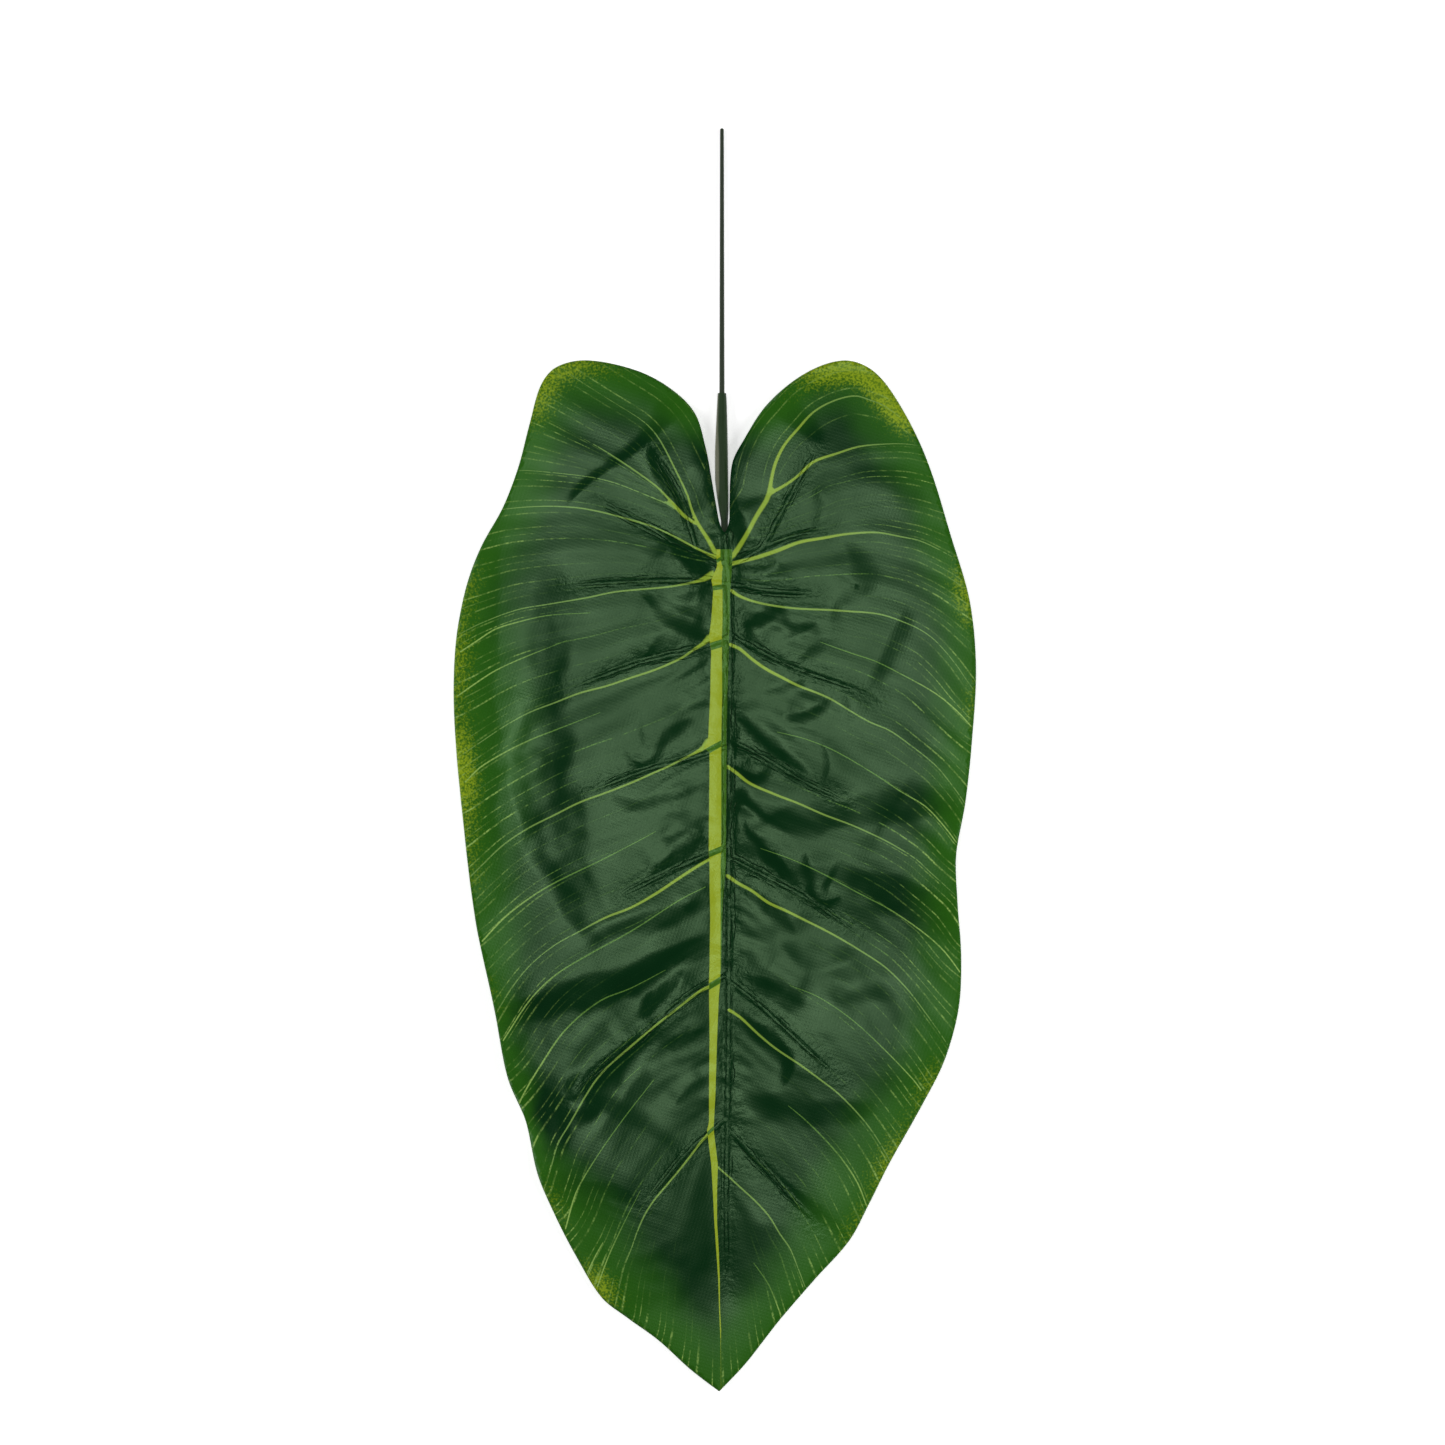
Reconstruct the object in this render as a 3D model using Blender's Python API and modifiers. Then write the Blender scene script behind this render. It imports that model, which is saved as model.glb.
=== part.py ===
"""An artificial heart-shaped leaf on a coated wire stem, lying face up on a table.

Blender's metres, +Z up, with the table at z = 0. The stem points along +Y, the leaf's tip along -Y
and the printed face looks up. The origin is on the table, in the middle of the leaf's length and width.
All sizes and places below are in millimetres, and each object is scaled to metres as it is made.
"""
import math

import bmesh
import bpy
import numpy as np
from mathutils.geometry import delaunay_2d_cdt

MM = 0.001

# Whole leaf
OVERALL_LENGTH = 457.2
STEM_TIP_Y = OVERALL_LENGTH / 2
LEAF_TIP_Y = -OVERALL_LENGTH / 2

# Fabric blade
BLADE_THICKNESS = 0.7
TABLE_CLEARANCE = 0.02
MARGIN_LEVEL = BLADE_THICKNESS / 2 + TABLE_CLEARANCE
ARCH_HEIGHT = 1.6
ARCH_WIDTH = 30.0
MARGIN_FALL = 1.2
DROOP_POWER = 5
TIP_REACH = 70.0
LOBE_FALL = 1.8
LOBE_START_Y = 95.0
LOBE_TOP_Y = 145.0
QUILT_HEIGHT = 0.5
QUILT_REACH = 7.0
FOLD_END_SHARE = 0.25
FOLD_SPREAD = 1.25
FOLD_CLEARANCE = 0.4
SHORT_REACH = 15.0
BAND_HEIGHT = 0.45
BAND_HALF_WIDTH = 1.5

# Rib frame and its gap to the fabric
RIB_GAP = 0.4
MIDRIB_RADIUS = 1.25
MIDRIB_END_RADIUS = 0.7
MIDRIB_TAPER_START_Y = -60.0
MIDRIB_END_Y = -192.5
FLAT_DEPTH = 0.3
SIDE_RIB_RADIUS = 0.75
SIDE_RIB_END_RADIUS = 0.45

# Stem, whose axis rises a little from its free end to the sleeve
STEM_X = 2.5
STEM_TIP_RADIUS = 0.7
STEM_RADIUS = 0.95
STEM_BORE_RADIUS = 0.6
WIRE_RADIUS = 0.45
SLEEVE_MOUTH_Y = 132.5
SLEEVE_BORE_RADIUS = 1.2
SLEEVE_BORE_END_Y = 107.0
COATING_END_Y = 112.0
WIRE_END_Y = 109.0
WIRE_TIP_Y = STEM_TIP_Y - 4.0
STEM_TIP_Z = STEM_TIP_RADIUS + TABLE_CLEARANCE
STEM_MOUTH_Z = 1.75

# How finely the blade and the tubes are cut
MARGIN_STEP = 6.0
RIB_STEP = 6.5
GRID_STEP = 6.5
TUBE_STEP = 9.0
ROUND_SIDES = 12
SIDE_RIB_SIDES = 8

# Margin, from the tip up the right side, round both lobes and down the left side
OUTLINE = [
    (1.5, LEAF_TIP_Y), (11.0, -218.5), (23.5, -202.5), (36.0, -188.0), (48.5, -174.0), (55.5, -161.0),
    (63.0, -146.0), (74.5, -125.5), (83.0, -108.5), (88.0, -90.0), (89.0, -71.0), (87.5, -51.0),
    (87.0, -34.5), (90.5, -15.0), (93.0, 8.5), (94.3, 34.0), (92.0, 57.5), (85.5, 80.0),
    (76.5, 108.5), (67.0, 128.0), (57.5, 140.5), (47.0, 144.5), (33.0, 140.0), (19.0, 128.5),
    (9.5, 114.0), (6.5, 108.0), (5.5, 101.0), (5.3, 92.0), (5.1, 86.0), (3.5, 82.0),
    (1.5, 86.0), (0.5, 91.0), (-1.0, 99.5), (-3.5, 113.0), (-7.5, 125.5), (-16.5, 134.5),
    (-29.0, 141.0), (-46.5, 144.5), (-57.5, 142.0), (-63.0, 135.5), (-67.0, 121.5), (-71.0, 106.0),
    (-76.5, 91.5), (-85.0, 76.0), (-90.5, 60.5), (-94.0, 39.5), (-94.2, 13.5), (-91.0, -22.0),
    (-86.5, -58.0), (-80.0, -88.5), (-75.0, -114.5), (-68.5, -131.0), (-64.0, -150.0), (-57.5, -165.5),
    (-50.0, -180.0), (-41.0, -194.5), (-31.5, -202.0), (-20.5, -210.0), (-9.0, -220.5), (1.5, LEAF_TIP_Y),
]

MIDRIB = [(3.5, 81.0), (5.0, 61.0), (5.5, 43.0), (5.0, 6.5), (5.0, -36.5), (5.0, -80.5), (4.5, -133.5),
          (4.0, -159.0), (4.5, MIDRIB_END_Y)]

# Side ribs, each from the rib that it grows out of towards the margin
SIDE_RIBS = [
    [(4.3, 70.5), (-9.0, 76.0), (-27.0, 85.5), (-45.5, 94.5)],
    [(-6.5, 75.0), (-9.0, 83.5), (-14.5, 97.5), (-23.5, 112.0)],
    [(4.8, 63.5), (-9.0, 64.5), (-27.0, 64.5), (-53.0, 63.0)],
    [(5.4, 44.5), (-9.0, 39.0), (-27.0, 35.0), (-54.0, 25.0)],
    [(5.0, 5.0), (-9.0, 0.5), (-27.0, -4.5), (-46.0, -12.0)],
    [(5.0, -31.5), (-9.0, -37.0), (-23.5, -44.0), (-34.5, -49.5)],
    [(5.0, -77.0), (-12.5, -88.0), (-27.0, -101.0), (-41.5, -111.5), (-54.0, -125.0)],
    [(4.5, -129.5), (-9.0, -141.0), (-25.5, -160.5)],
    [(4.5, 69.0), (14.5, 75.0), (27.0, 80.5), (42.5, 83.0)],
    [(17.5, 77.0), (21.5, 84.5), (30.5, 101.5), (37.0, 113.5)],
    [(5.0, 63.5), (20.0, 61.0), (38.0, 60.0)],
    [(5.4, 45.5), (16.5, 39.0), (30.5, 32.5), (58.0, 23.0)],
    [(5.0, 7.0), (16.5, 1.5), (30.5, -7.0), (47.0, -15.0)],
    [(5.0, -35.5), (20.0, -43.0), (36.0, -52.0), (52.5, -63.5)],
    [(5.0, -80.0), (16.5, -89.0), (30.5, -102.0), (45.0, -115.0)],
    [(4.5, -133.0), (16.5, -146.5), (38.0, -169.0)],
]

# Where the margin droops, or is lifted over the sleeve's end: x, y, drop, reach
DROOPS = [
    (-92.0, 55.0, 2.6, 28.0), (-91.0, 8.0, 2.0, 30.0), (-67.0, -134.0, 3.2, 13.0), (-46.0, -188.0, 0.8, 14.0),
    (-80.0, -98.0, 1.6, 18.0), (89.0, -62.0, 1.4, 14.0), (47.0, 143.0, 1.0, 20.0), (76.0, -118.0, 0.4, 18.0),
    (3.5, 82.0, -1.4, 13.0), (50.0, -172.0, 0.6, 18.0),
]

# Folds: slope of the steep face, reach of the gentle one behind it, and a line along the middle of the
# steep face with its width at each point; the high side is on the left going along the line
FOLDS = [
    (0.08, 35, [(-77.5, 93.5, 5.0), (-83.5, 74.0, 11.5), (-86.5, 50.5, 14.5), (-87.0, 28.5, 15.0),
                (-86.5, 7.0, 14.5), (-85.0, -14.5, 12.5), (-82.0, -36.5, 10.0), (-79.0, -56.0, 6.0)]),
    (0.10, 30, [(-38.0, -78.0, 5.0), (-46.0, -56.0, 13.0), (-53.0, -38.0, 17.5), (-59.0, -20.0, 21.0),
                (-61.5, -2.0, 21.0), (-61.0, 16.0, 18.0), (-59.5, 36.0, 14.5), (-57.5, 54.0, 7.0)]),
    (0.24, 30, [(-92.0, -108.5, 7.0), (-77.5, -95.5, 11.0), (-58.0, -87.0, 12.5), (-41.5, -83.0, 13.5),
                (-26.5, -79.0, 13.5), (-12.5, -71.5, 10.0), (3.5, -63.0, 3.0)]),
    (0.25, 42, [(-106.5, -181.5, 20.0), (-85.5, -162.5, 20.0), (-70.5, -147.5, 19.0), (-60.5, -135.5, 16.5),
                (-51.5, -125.0, 13.0), (-41.5, -115.0, 9.5), (-31.5, -105.5, 6.0), (-19.0, -97.0, 2.0)]),
    (0.08, 30, [(-39.5, -199.5, 3.0), (-22.0, -194.0, 12.5), (-1.0, -188.0, 18.0), (16.5, -181.5, 15.0),
                (30.5, -174.0, 6.0)]),
    (0.05, 25, [(-88.5, -127.5, 7.0), (-70.5, -110.0, 20.0), (-52.5, -99.0, 21.5), (-34.5, -92.5, 14.5),
                (-23.5, -89.0, 5.5)]),
    (0.04, 20, [(-3.5, -164.5, 7.0), (-17.0, -148.0, 21.5), (-28.5, -134.0, 21.5), (-38.0, -121.0, 7.0)]),
    (0.04, 25, [(90.5, -97.5, 11.0), (68.5, -96.0, 20.0), (45.0, -94.0, 20.0), (23.5, -89.5, 8.5)]),
    (0.04, 30, [(85.0, 75.5, 3.5), (72.0, 95.5, 13.0), (61.5, 108.0, 16.5), (48.0, 114.5, 17.5),
                (29.5, 121.0, 11.0)]),
    (0.13, 14, [(41.0, 113.0, 2.0), (35.5, 118.0, 6.0), (29.5, 125.0, 8.5), (20.5, 134.0, 10.0)]),
    (0.11, 30, [(97.0, -17.5, 16.0), (74.0, -16.0, 13.5), (53.0, -17.5, 11.5), (30.5, -22.0, 10.0),
                (8.5, -17.5, 2.0)]),
    (0.17, 30, [(38.0, -35.5, 3.5), (49.0, -43.5, 10.0), (60.5, -49.0, 13.0), (71.0, -52.0, 14.5),
                (81.5, -56.5, 16.0), (94.0, -63.0, 16.0), (106.5, -70.5, 14.5)]),
    (0.12, 14, [(55.5, -66.5, 2.0), (40.0, -71.5, 8.5), (29.5, -68.0, 8.5), (21.5, -61.5, 3.5)]),
    (0.06, 20, [(77.5, -79.5, 5.0), (59.5, -83.5, 9.5), (44.5, -85.0, 9.5), (29.5, -82.5, 4.5)]),
    (0.03, 30, [(33.0, -114.0, 6.0), (56.0, -120.0, 14.5), (74.0, -117.0, 14.5), (91.5, -110.5, 11.0)]),
    (0.10, 16, [(8.5, -123.5, 3.0), (20.0, -124.5, 8.5), (30.5, -126.5, 10.0), (46.0, -128.0, 8.5),
                (61.0, -124.5, 3.5)]),
]

# Sleeve centre line: x, y, height above the table, radius
SLEEVE = [
    (STEM_X, SLEEVE_MOUTH_Y, STEM_MOUTH_Z, 1.55), (STEM_X, 128.0, 1.8, 1.8), (2.4, 120.0, 1.85, 2.1),
    (2.3, 111.0, 1.95, 2.35), (2.4, 101.0, 2.0, 2.4), (2.8, 95.0, 1.85, 2.1), (3.2, 90.0, 1.4, 1.7),
    (3.4, 86.5, 1.0, 1.3),
]


def clear_scene():
    """Remove whatever the file holds."""
    for old in list(bpy.data.objects):
        bpy.data.objects.remove(old, do_unlink=True)


def new_collection(name):
    """A collection under the scene's own."""
    made = bpy.data.collections.new(name)
    bpy.context.scene.collection.children.link(made)
    return made


def principled(name, colour, roughness, metallic=0.0, coat=0.0):
    """A plain Principled material."""
    material = bpy.data.materials.new(name)
    material.use_nodes = True
    surface = material.node_tree.nodes["Principled BSDF"]
    surface.inputs["Base Color"].default_value = (*colour, 1.0)
    surface.inputs["Roughness"].default_value = roughness
    surface.inputs["Metallic"].default_value = metallic
    surface.inputs["Coat Weight"].default_value = coat
    return material


def smooth_curve(points, step):
    """A smooth curve through the points, with each stretch cut into pieces of about one step."""
    points = np.array(points, dtype=float)
    lengths = np.linalg.norm(np.diff(points, axis=0), axis=1)
    inner = (points[2:] - points[:-2]) / (lengths[1:] + lengths[:-1])[:, None]
    slopes = np.vstack([(points[1] - points[0]) / lengths[0], inner, (points[-1] - points[-2]) / lengths[-1]])
    curve = []
    for start, end, leave, arrive, length in zip(points, points[1:], slopes, slopes[1:], lengths):
        pieces = max(1, round(length / step))
        for t in np.arange(pieces) / pieces:
            curve.append((2 * t**3 - 3 * t**2 + 1) * start + (3 * t**2 - 2 * t**3) * end
                         + ((t**3 - 2 * t**2 + t) * leave + (t**3 - t**2) * arrive) * length)
    return np.array(curve + [points[-1]])


def even_stations(curve, step, start=0.0):
    """Places along a curve at even steps from a start to its end."""
    run = np.concatenate([[0.0], np.cumsum(np.linalg.norm(np.diff(curve, axis=0), axis=1))])
    count = max(2, round((run[-1] - start) / step) + 1)
    wanted = np.linspace(start, run[-1], count)
    return np.column_stack([np.interp(wanted, run, axis) for axis in curve.T])


def measure(points, line):
    """Distance from each point to a line, on which side it lies (+1 on the left) and how far along it."""
    nearest = np.full(len(points), np.inf)
    side = np.ones(len(points))
    along_line = np.zeros(len(points))
    run = 0.0
    for start, end in zip(line, line[1:]):
        step = end - start
        length = math.hypot(*step)
        offset = points - start
        part = np.clip(offset @ step / length**2, 0.0, 1.0)
        away = np.linalg.norm(offset - part[:, None] * step, axis=1)
        nearer = away < nearest
        nearest[nearer] = away[nearer]
        side[nearer] = np.sign(step[0] * offset[nearer, 1] - step[1] * offset[nearer, 0])
        along_line[nearer] = run + part[nearer] * length
        run += length
    return nearest, side, along_line / run


def distance_to(points, line):
    """Distance from each point to a line."""
    return measure(points, line)[0]


MARGIN_LINE = smooth_curve(OUTLINE, MARGIN_STEP)
MIDRIB_LINE = smooth_curve(MIDRIB, RIB_STEP)
SIDE_LINES = [smooth_curve(points, 2.0) for points in SIDE_RIBS]
FOLD_LINES = [smooth_curve(points, 3.0) for *_, points in FOLDS]


def midrib_radius(y):
    """Radius of the midrib along its length."""
    return np.interp(y, [MIDRIB_END_Y, MIDRIB_TAPER_START_Y], [MIDRIB_END_RADIUS, MIDRIB_RADIUS])


def spine_height(y):
    """Height of the fabric's middle beside the midrib, falling to the table at the leaf's tip."""
    over_rib = 2 * midrib_radius(y) - FLAT_DEPTH + RIB_GAP + BLADE_THICKNESS / 2 - BAND_HEIGHT
    to_tip = np.clip((MIDRIB_END_Y - y) / (MIDRIB_END_Y - LEAF_TIP_Y), 0.0, 1.0)
    return over_rib + (MARGIN_LEVEL - over_rib) * to_tip


def smooth_step(value):
    """A smooth step from 0 to 1 as the value goes from 0 to 1."""
    value = np.clip(value, 0.0, 1.0)
    return value * value * (3 - 2 * value)


def fold_height(points, to_midrib):
    """Height of the folds: each rises across its steep face, sinks back behind it and fades at its ends."""
    height = np.zeros(len(points))
    for (steep, reach, _), line in zip(FOLDS, FOLD_LINES):
        away, side, along = measure(points, line[:, :2])
        run = np.concatenate([[0.0], np.cumsum(np.linalg.norm(np.diff(line[:, :2], axis=0), axis=1))])
        width = np.interp(along, run / run[-1], line[:, 2]) * FOLD_SPREAD
        up_face = away * side / width + 0.5
        behind = np.maximum(away * side - width / 2, 0.0) / reach
        fade = smooth_step(np.minimum(along, 1 - along) / FOLD_END_SHARE)
        if reach > SHORT_REACH:
            fade *= 1 - np.exp(-((to_midrib / (FOLD_CLEARANCE * reach)) ** 2))
        height += steep * width / 1.5 * smooth_step(up_face) * np.exp(-(behind**2)) * fade
    return height


def base_height(points):
    """Height of the fabric's middle along the ribs: an arch on each side, folds, and a drooping margin."""
    to_midrib = distance_to(points, MIDRIB_LINE)
    width = to_midrib + distance_to(points, MARGIN_LINE)
    across = to_midrib / (width + TABLE_CLEARANCE)
    fullness = 1 - np.exp(-width / ARCH_WIDTH)
    arch = ARCH_HEIGHT * fullness * (1 - (1 - across) ** 2)
    drop = np.full(len(points), MARGIN_FALL)
    for x, y, depth, reach in DROOPS:
        drop += depth * np.exp(-((points[:, 0] - x) ** 2 + (points[:, 1] - y) ** 2) / reach**2)
    drop *= fullness**2 * smooth_step((points[:, 1] - LEAF_TIP_Y) / TIP_REACH)
    up_lobe = np.clip((points[:, 1] - LOBE_START_Y) / (LOBE_TOP_Y - LOBE_START_Y), 0.0, 1.0)
    height = spine_height(points[:, 1]) + arch - drop * across**DROOP_POWER - LOBE_FALL * up_lobe**2
    return height + fold_height(points, to_midrib), across


def blade_height(points):
    """Height of the fabric's middle: puffed between the ribs and raised in a band over each of them."""
    height, across = base_height(points)
    flat_part = np.ones(len(points))
    band = np.zeros(len(points))
    for line in [MIDRIB_LINE, *SIDE_LINES]:
        away = distance_to(points, line)
        flat_part *= 1 - np.exp(-((away / QUILT_REACH) ** 2))
        band = np.maximum(band, 1 - away / BAND_HALF_WIDTH)
    height += QUILT_HEIGHT * flat_part * (1 - across**6) + BAND_HEIGHT * band
    return np.maximum(height, MARGIN_LEVEL)


def band_edges(middle):
    """Points along both edges of a rib's raised band, beside those along its middle."""
    ahead = np.gradient(middle, axis=0)
    ahead /= np.linalg.norm(ahead, axis=1)[:, None]
    aside = np.column_stack([-ahead[:, 1], ahead[:, 0]]) * BAND_HALF_WIDTH
    return np.vstack([middle + aside, middle - aside])


def clear_of(candidates, kept, gap):
    """The candidates that keep a gap to every point kept so far."""
    apart = np.linalg.norm(candidates[:, None, :] - kept[None, :, :], axis=2).min(axis=1)
    return candidates[apart > gap]


def inside_margin(points):
    """Whether each point lies inside the margin, by counting the crossings to its right."""
    inside = np.zeros(len(points), dtype=bool)
    for (x0, y0), (x1, y1) in zip(MARGIN_LINE, MARGIN_LINE[1:]):
        between = (points[:, 1] < y0) != (points[:, 1] < y1)
        if y0 != y1:
            crossing = x0 + (points[:, 1] - y0) * (x1 - x0) / (y1 - y0)
            inside ^= between & (points[:, 0] < crossing)
    return inside


def blade_plan():
    """Plan of the blade: margin, three rows along each rib, a grid between, and the ribs' middle edges."""
    points = MARGIN_LINE[:-1]
    edges = []
    middles = [even_stations(line, RIB_STEP, BAND_HALF_WIDTH) for line in [MIDRIB_LINE, *SIDE_LINES]]
    for middle in middles:
        kept = clear_of(middle, points, BAND_HALF_WIDTH * 0.9)
        edges += [(i, i + 1) for i in range(len(points), len(points) + len(kept) - 1)]
        points = np.vstack([points, kept])
    for middle in middles:
        points = np.vstack([points, clear_of(band_edges(middle), points, BAND_HALF_WIDTH * 0.9)])
    low, high = MARGIN_LINE.min(axis=0), MARGIN_LINE.max(axis=0)
    row_step = GRID_STEP * math.sqrt(3) / 2
    grid = [(x + (row % 2) * GRID_STEP / 2, low[1] + row * row_step)
            for row in range(math.ceil((high[1] - low[1]) / row_step))
            for x in np.arange(low[0], high[0], GRID_STEP)]
    grid = np.array(grid)
    grid = grid[inside_margin(grid)]
    return np.vstack([points, clear_of(grid, points, GRID_STEP * 0.5)]), edges


def blade(parts):
    """The printed fabric: one waved sheet with a drooping margin, thickened evenly both ways."""
    plan, edges = blade_plan()
    rim = list(range(len(MARGIN_LINE) - 1))
    flat, _, faces, *_ = delaunay_2d_cdt([tuple(p) for p in plan], edges, [rim], 1, 1e-6)
    flat = np.array([tuple(p) for p in flat])
    heights = blade_height(flat)
    shape = bmesh.new()
    corners = [shape.verts.new((x * MM, y * MM, z * MM)) for (x, y), z in zip(flat, heights)]
    for face in faces:
        shape.faces.new([corners[i] for i in face])
    bmesh.ops.delete(shape, geom=[v for v in shape.verts if not v.link_faces], context="VERTS")
    mesh = bpy.data.meshes.new("blade")
    shape.to_mesh(mesh)
    shape.free()
    mesh.shade_smooth()
    sheet = bpy.data.objects.new("blade", mesh)
    parts.objects.link(sheet)
    sheet.data.materials.append(principled("printed fabric", (0.011, 0.045, 0.017), 0.32, coat=0.5))
    thicken = sheet.modifiers.new("fabric thickness", "SOLIDIFY")
    thicken.thickness = BLADE_THICKNESS * MM
    thicken.offset = 0.0


def tube(name, path, radii, sides, collection):
    """A closed round tube along a path, as a mesh."""
    curve = bpy.data.curves.new(name, "CURVE")
    curve.dimensions = "3D"
    curve.bevel_depth = MM
    curve.bevel_resolution = (sides - 4) // 2
    curve.use_fill_caps = True
    curve.twist_mode = "Z_UP"
    spline = curve.splines.new("POLY")
    spline.points.add(len(path) - 1)
    for point, (x, y, z), radius in zip(spline.points, path, radii):
        point.co = (x * MM, y * MM, z * MM, 1.0)
        point.radius = radius
    guide = bpy.data.objects.new(f"{name} guide", curve)
    collection.objects.link(guide)
    bpy.context.view_layer.update()
    evaluated = guide.evaluated_get(bpy.context.evaluated_depsgraph_get())
    mesh = bpy.data.meshes.new_from_object(evaluated)
    shape = bmesh.new()
    shape.from_mesh(mesh)
    bmesh.ops.remove_doubles(shape, verts=shape.verts, dist=0.00001)
    bmesh.ops.recalc_face_normals(shape, faces=shape.faces)
    shape.to_mesh(mesh)
    shape.free()
    placed = guide.matrix_world.copy()
    bpy.data.objects.remove(guide, do_unlink=True)
    solid = bpy.data.objects.new(name, mesh)
    solid.matrix_world = placed
    collection.objects.link(solid)
    return solid


def stem_axis_z(y):
    """Height of the stem's axis, which runs on straight inside the sleeve."""
    slope = (STEM_MOUTH_Z - STEM_TIP_Z) / (STEM_TIP_Y - SLEEVE_MOUTH_Y)
    return STEM_MOUTH_Z + slope * (SLEEVE_MOUTH_Y - y)


def lay_on_stem_axis(turned, end_y):
    """Turn an object whose local Z is its axis so that it runs up the stem from end_y."""
    tilt = math.atan2(stem_axis_z(end_y) - STEM_TIP_Z, STEM_TIP_Y - end_y)
    turned.rotation_euler = (-math.pi / 2 - tilt, 0.0, 0.0)
    turned.location = (STEM_X * MM, end_y * MM, stem_axis_z(end_y) * MM)


def round_bar(name, radius, start_y, end_y, collection):
    """A plain round bar along the stem's axis."""
    length = (end_y - start_y) * MM
    bpy.ops.mesh.primitive_cylinder_add(vertices=ROUND_SIDES, radius=radius * MM, depth=length)
    bar = bpy.context.object
    bar.name = name
    bar.data.name = name
    for vertex in bar.data.vertices:
        vertex.co.z += length / 2
    for owner in list(bar.users_collection):
        owner.objects.unlink(bar)
    collection.objects.link(bar)
    lay_on_stem_axis(bar, start_y)
    return bar


def cut(target, cutter, name):
    """Take a hidden cutter out of a part."""
    cutter.hide_render = True
    cutter.display_type = "WIRE"
    removal = target.modifiers.new(name, "BOOLEAN")
    removal.operation = "DIFFERENCE"
    removal.object = cutter


def side_rib_path(line):
    """Centre line and radii of a side rib, hanging just under the band that it raises."""
    plan = even_stations(line, RIB_STEP)
    radii = np.linspace(SIDE_RIB_RADIUS, SIDE_RIB_END_RADIUS, len(plan))
    under = BAND_HEIGHT - BLADE_THICKNESS / 2 - RIB_GAP - radii
    return np.column_stack([plan, base_height(plan)[0] + under]), radii


def rib_frame(parts, cutters):
    """The moulded piece behind the fabric: sleeve, midrib and side ribs, flat where it rests."""
    plan = even_stations(MIDRIB_LINE, TUBE_STEP)
    radii = midrib_radius(plan[:, 1])
    midrib = np.column_stack([plan, radii - FLAT_DEPTH])
    sleeve = np.array(SLEEVE)
    path = np.vstack([sleeve[:, :3], midrib])
    frame = tube("rib_frame", path, [*sleeve[:, 3], *radii], ROUND_SIDES, parts)
    branches = new_collection("side ribs")
    for number, line in enumerate(SIDE_LINES, 1):
        tube(f"side rib {number}", *side_rib_path(line), SIDE_RIB_SIDES, branches)
    join = frame.modifiers.new("join side ribs", "BOOLEAN")
    join.operation = "UNION"
    join.operand_type = "COLLECTION"
    join.collection = branches
    bore = round_bar("sleeve bore", SLEEVE_BORE_RADIUS, SLEEVE_BORE_END_Y, SLEEVE_MOUTH_Y + 5.0, cutters)
    bpy.ops.mesh.primitive_cube_add(size=1.0)
    table = bpy.context.object
    table.name = "table under the frame"
    table.scale = (0.3, 0.6, 0.02)
    table.location = (0.0, 0.0, -0.01)
    for owner in list(table.users_collection):
        owner.objects.unlink(table)
    cutters.objects.link(table)
    cut(frame, bore, "bore the sleeve")
    cut(frame, table, "flatten the underside")
    bpy.context.view_layer.update()
    evaluated = frame.evaluated_get(bpy.context.evaluated_depsgraph_get())
    frame.data = bpy.data.meshes.new_from_object(evaluated)
    frame.modifiers.clear()
    for piece in list(branches.objects):
        bpy.data.objects.remove(piece, do_unlink=True)
    bpy.data.collections.remove(branches)
    frame.data.shade_smooth()
    frame.data.set_sharp_from_angle(angle=math.radians(40))
    frame.data.materials.clear()
    frame.data.materials.append(principled("olive green plastic", (0.030, 0.060, 0.018), 0.42))


def stem_coating(parts):
    """The stem's dark coating: round and closed at its free end, open inside the sleeve."""
    length = STEM_TIP_Y - COATING_END_Y
    bore_depth = length - 3.0
    tip_steps = [math.pi / 2 * i / 3 for i in range(1, 4)]
    profile = [(STEM_BORE_RADIUS, 0.0), (STEM_RADIUS, 0.0), (STEM_RADIUS, SLEEVE_MOUTH_Y - COATING_END_Y),
               (STEM_TIP_RADIUS, length - STEM_TIP_RADIUS)]
    profile += [(STEM_TIP_RADIUS * math.cos(a), length - STEM_TIP_RADIUS * (1 - math.sin(a)))
                for a in tip_steps]
    on_axis = len(profile) - 1
    profile[on_axis] = (0.0, length)
    profile += [(0.0, bore_depth), (STEM_BORE_RADIUS, bore_depth - STEM_BORE_RADIUS)]
    mesh = bpy.data.meshes.new("stem_coating")
    bar = bpy.data.objects.new("stem_coating", mesh)
    parts.objects.link(bar)
    edges = [(i, i + 1) for i in range(len(profile) - 1) if i != on_axis] + [(len(profile) - 1, 0)]
    mesh.from_pydata([(r * MM, 0.0, z * MM) for r, z in profile], edges, [])
    turn = bar.modifiers.new("turn the profile", "SCREW")
    turn.steps = turn.render_steps = ROUND_SIDES
    turn.use_merge_vertices = True
    turn.merge_threshold = 0.00001
    turn.use_normal_calculate = True
    lay_on_stem_axis(bar, COATING_END_Y)
    bar.data.materials.append(principled("dark green coating", (0.020, 0.028, 0.017), 0.38))


def stem_wire(parts):
    """The steel core of the stem."""
    bar = round_bar("stem_wire", WIRE_RADIUS, WIRE_END_Y, WIRE_TIP_Y, parts)
    bar.data.shade_smooth()
    bar.data.set_sharp_from_angle(angle=math.radians(40))
    bar.data.materials.append(principled("steel wire", (0.56, 0.57, 0.58), 0.35, metallic=1.0))


def main():
    clear_scene()
    parts = new_collection("artificial leaf")
    cutters = new_collection("cutters")
    blade(parts)
    rib_frame(parts, cutters)
    stem_coating(parts)
    stem_wire(parts)


main()
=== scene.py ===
"""Looks of an artificial heart-shaped leaf: its printed, film-coated fabric, rib frame and stem."""
import math

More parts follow.
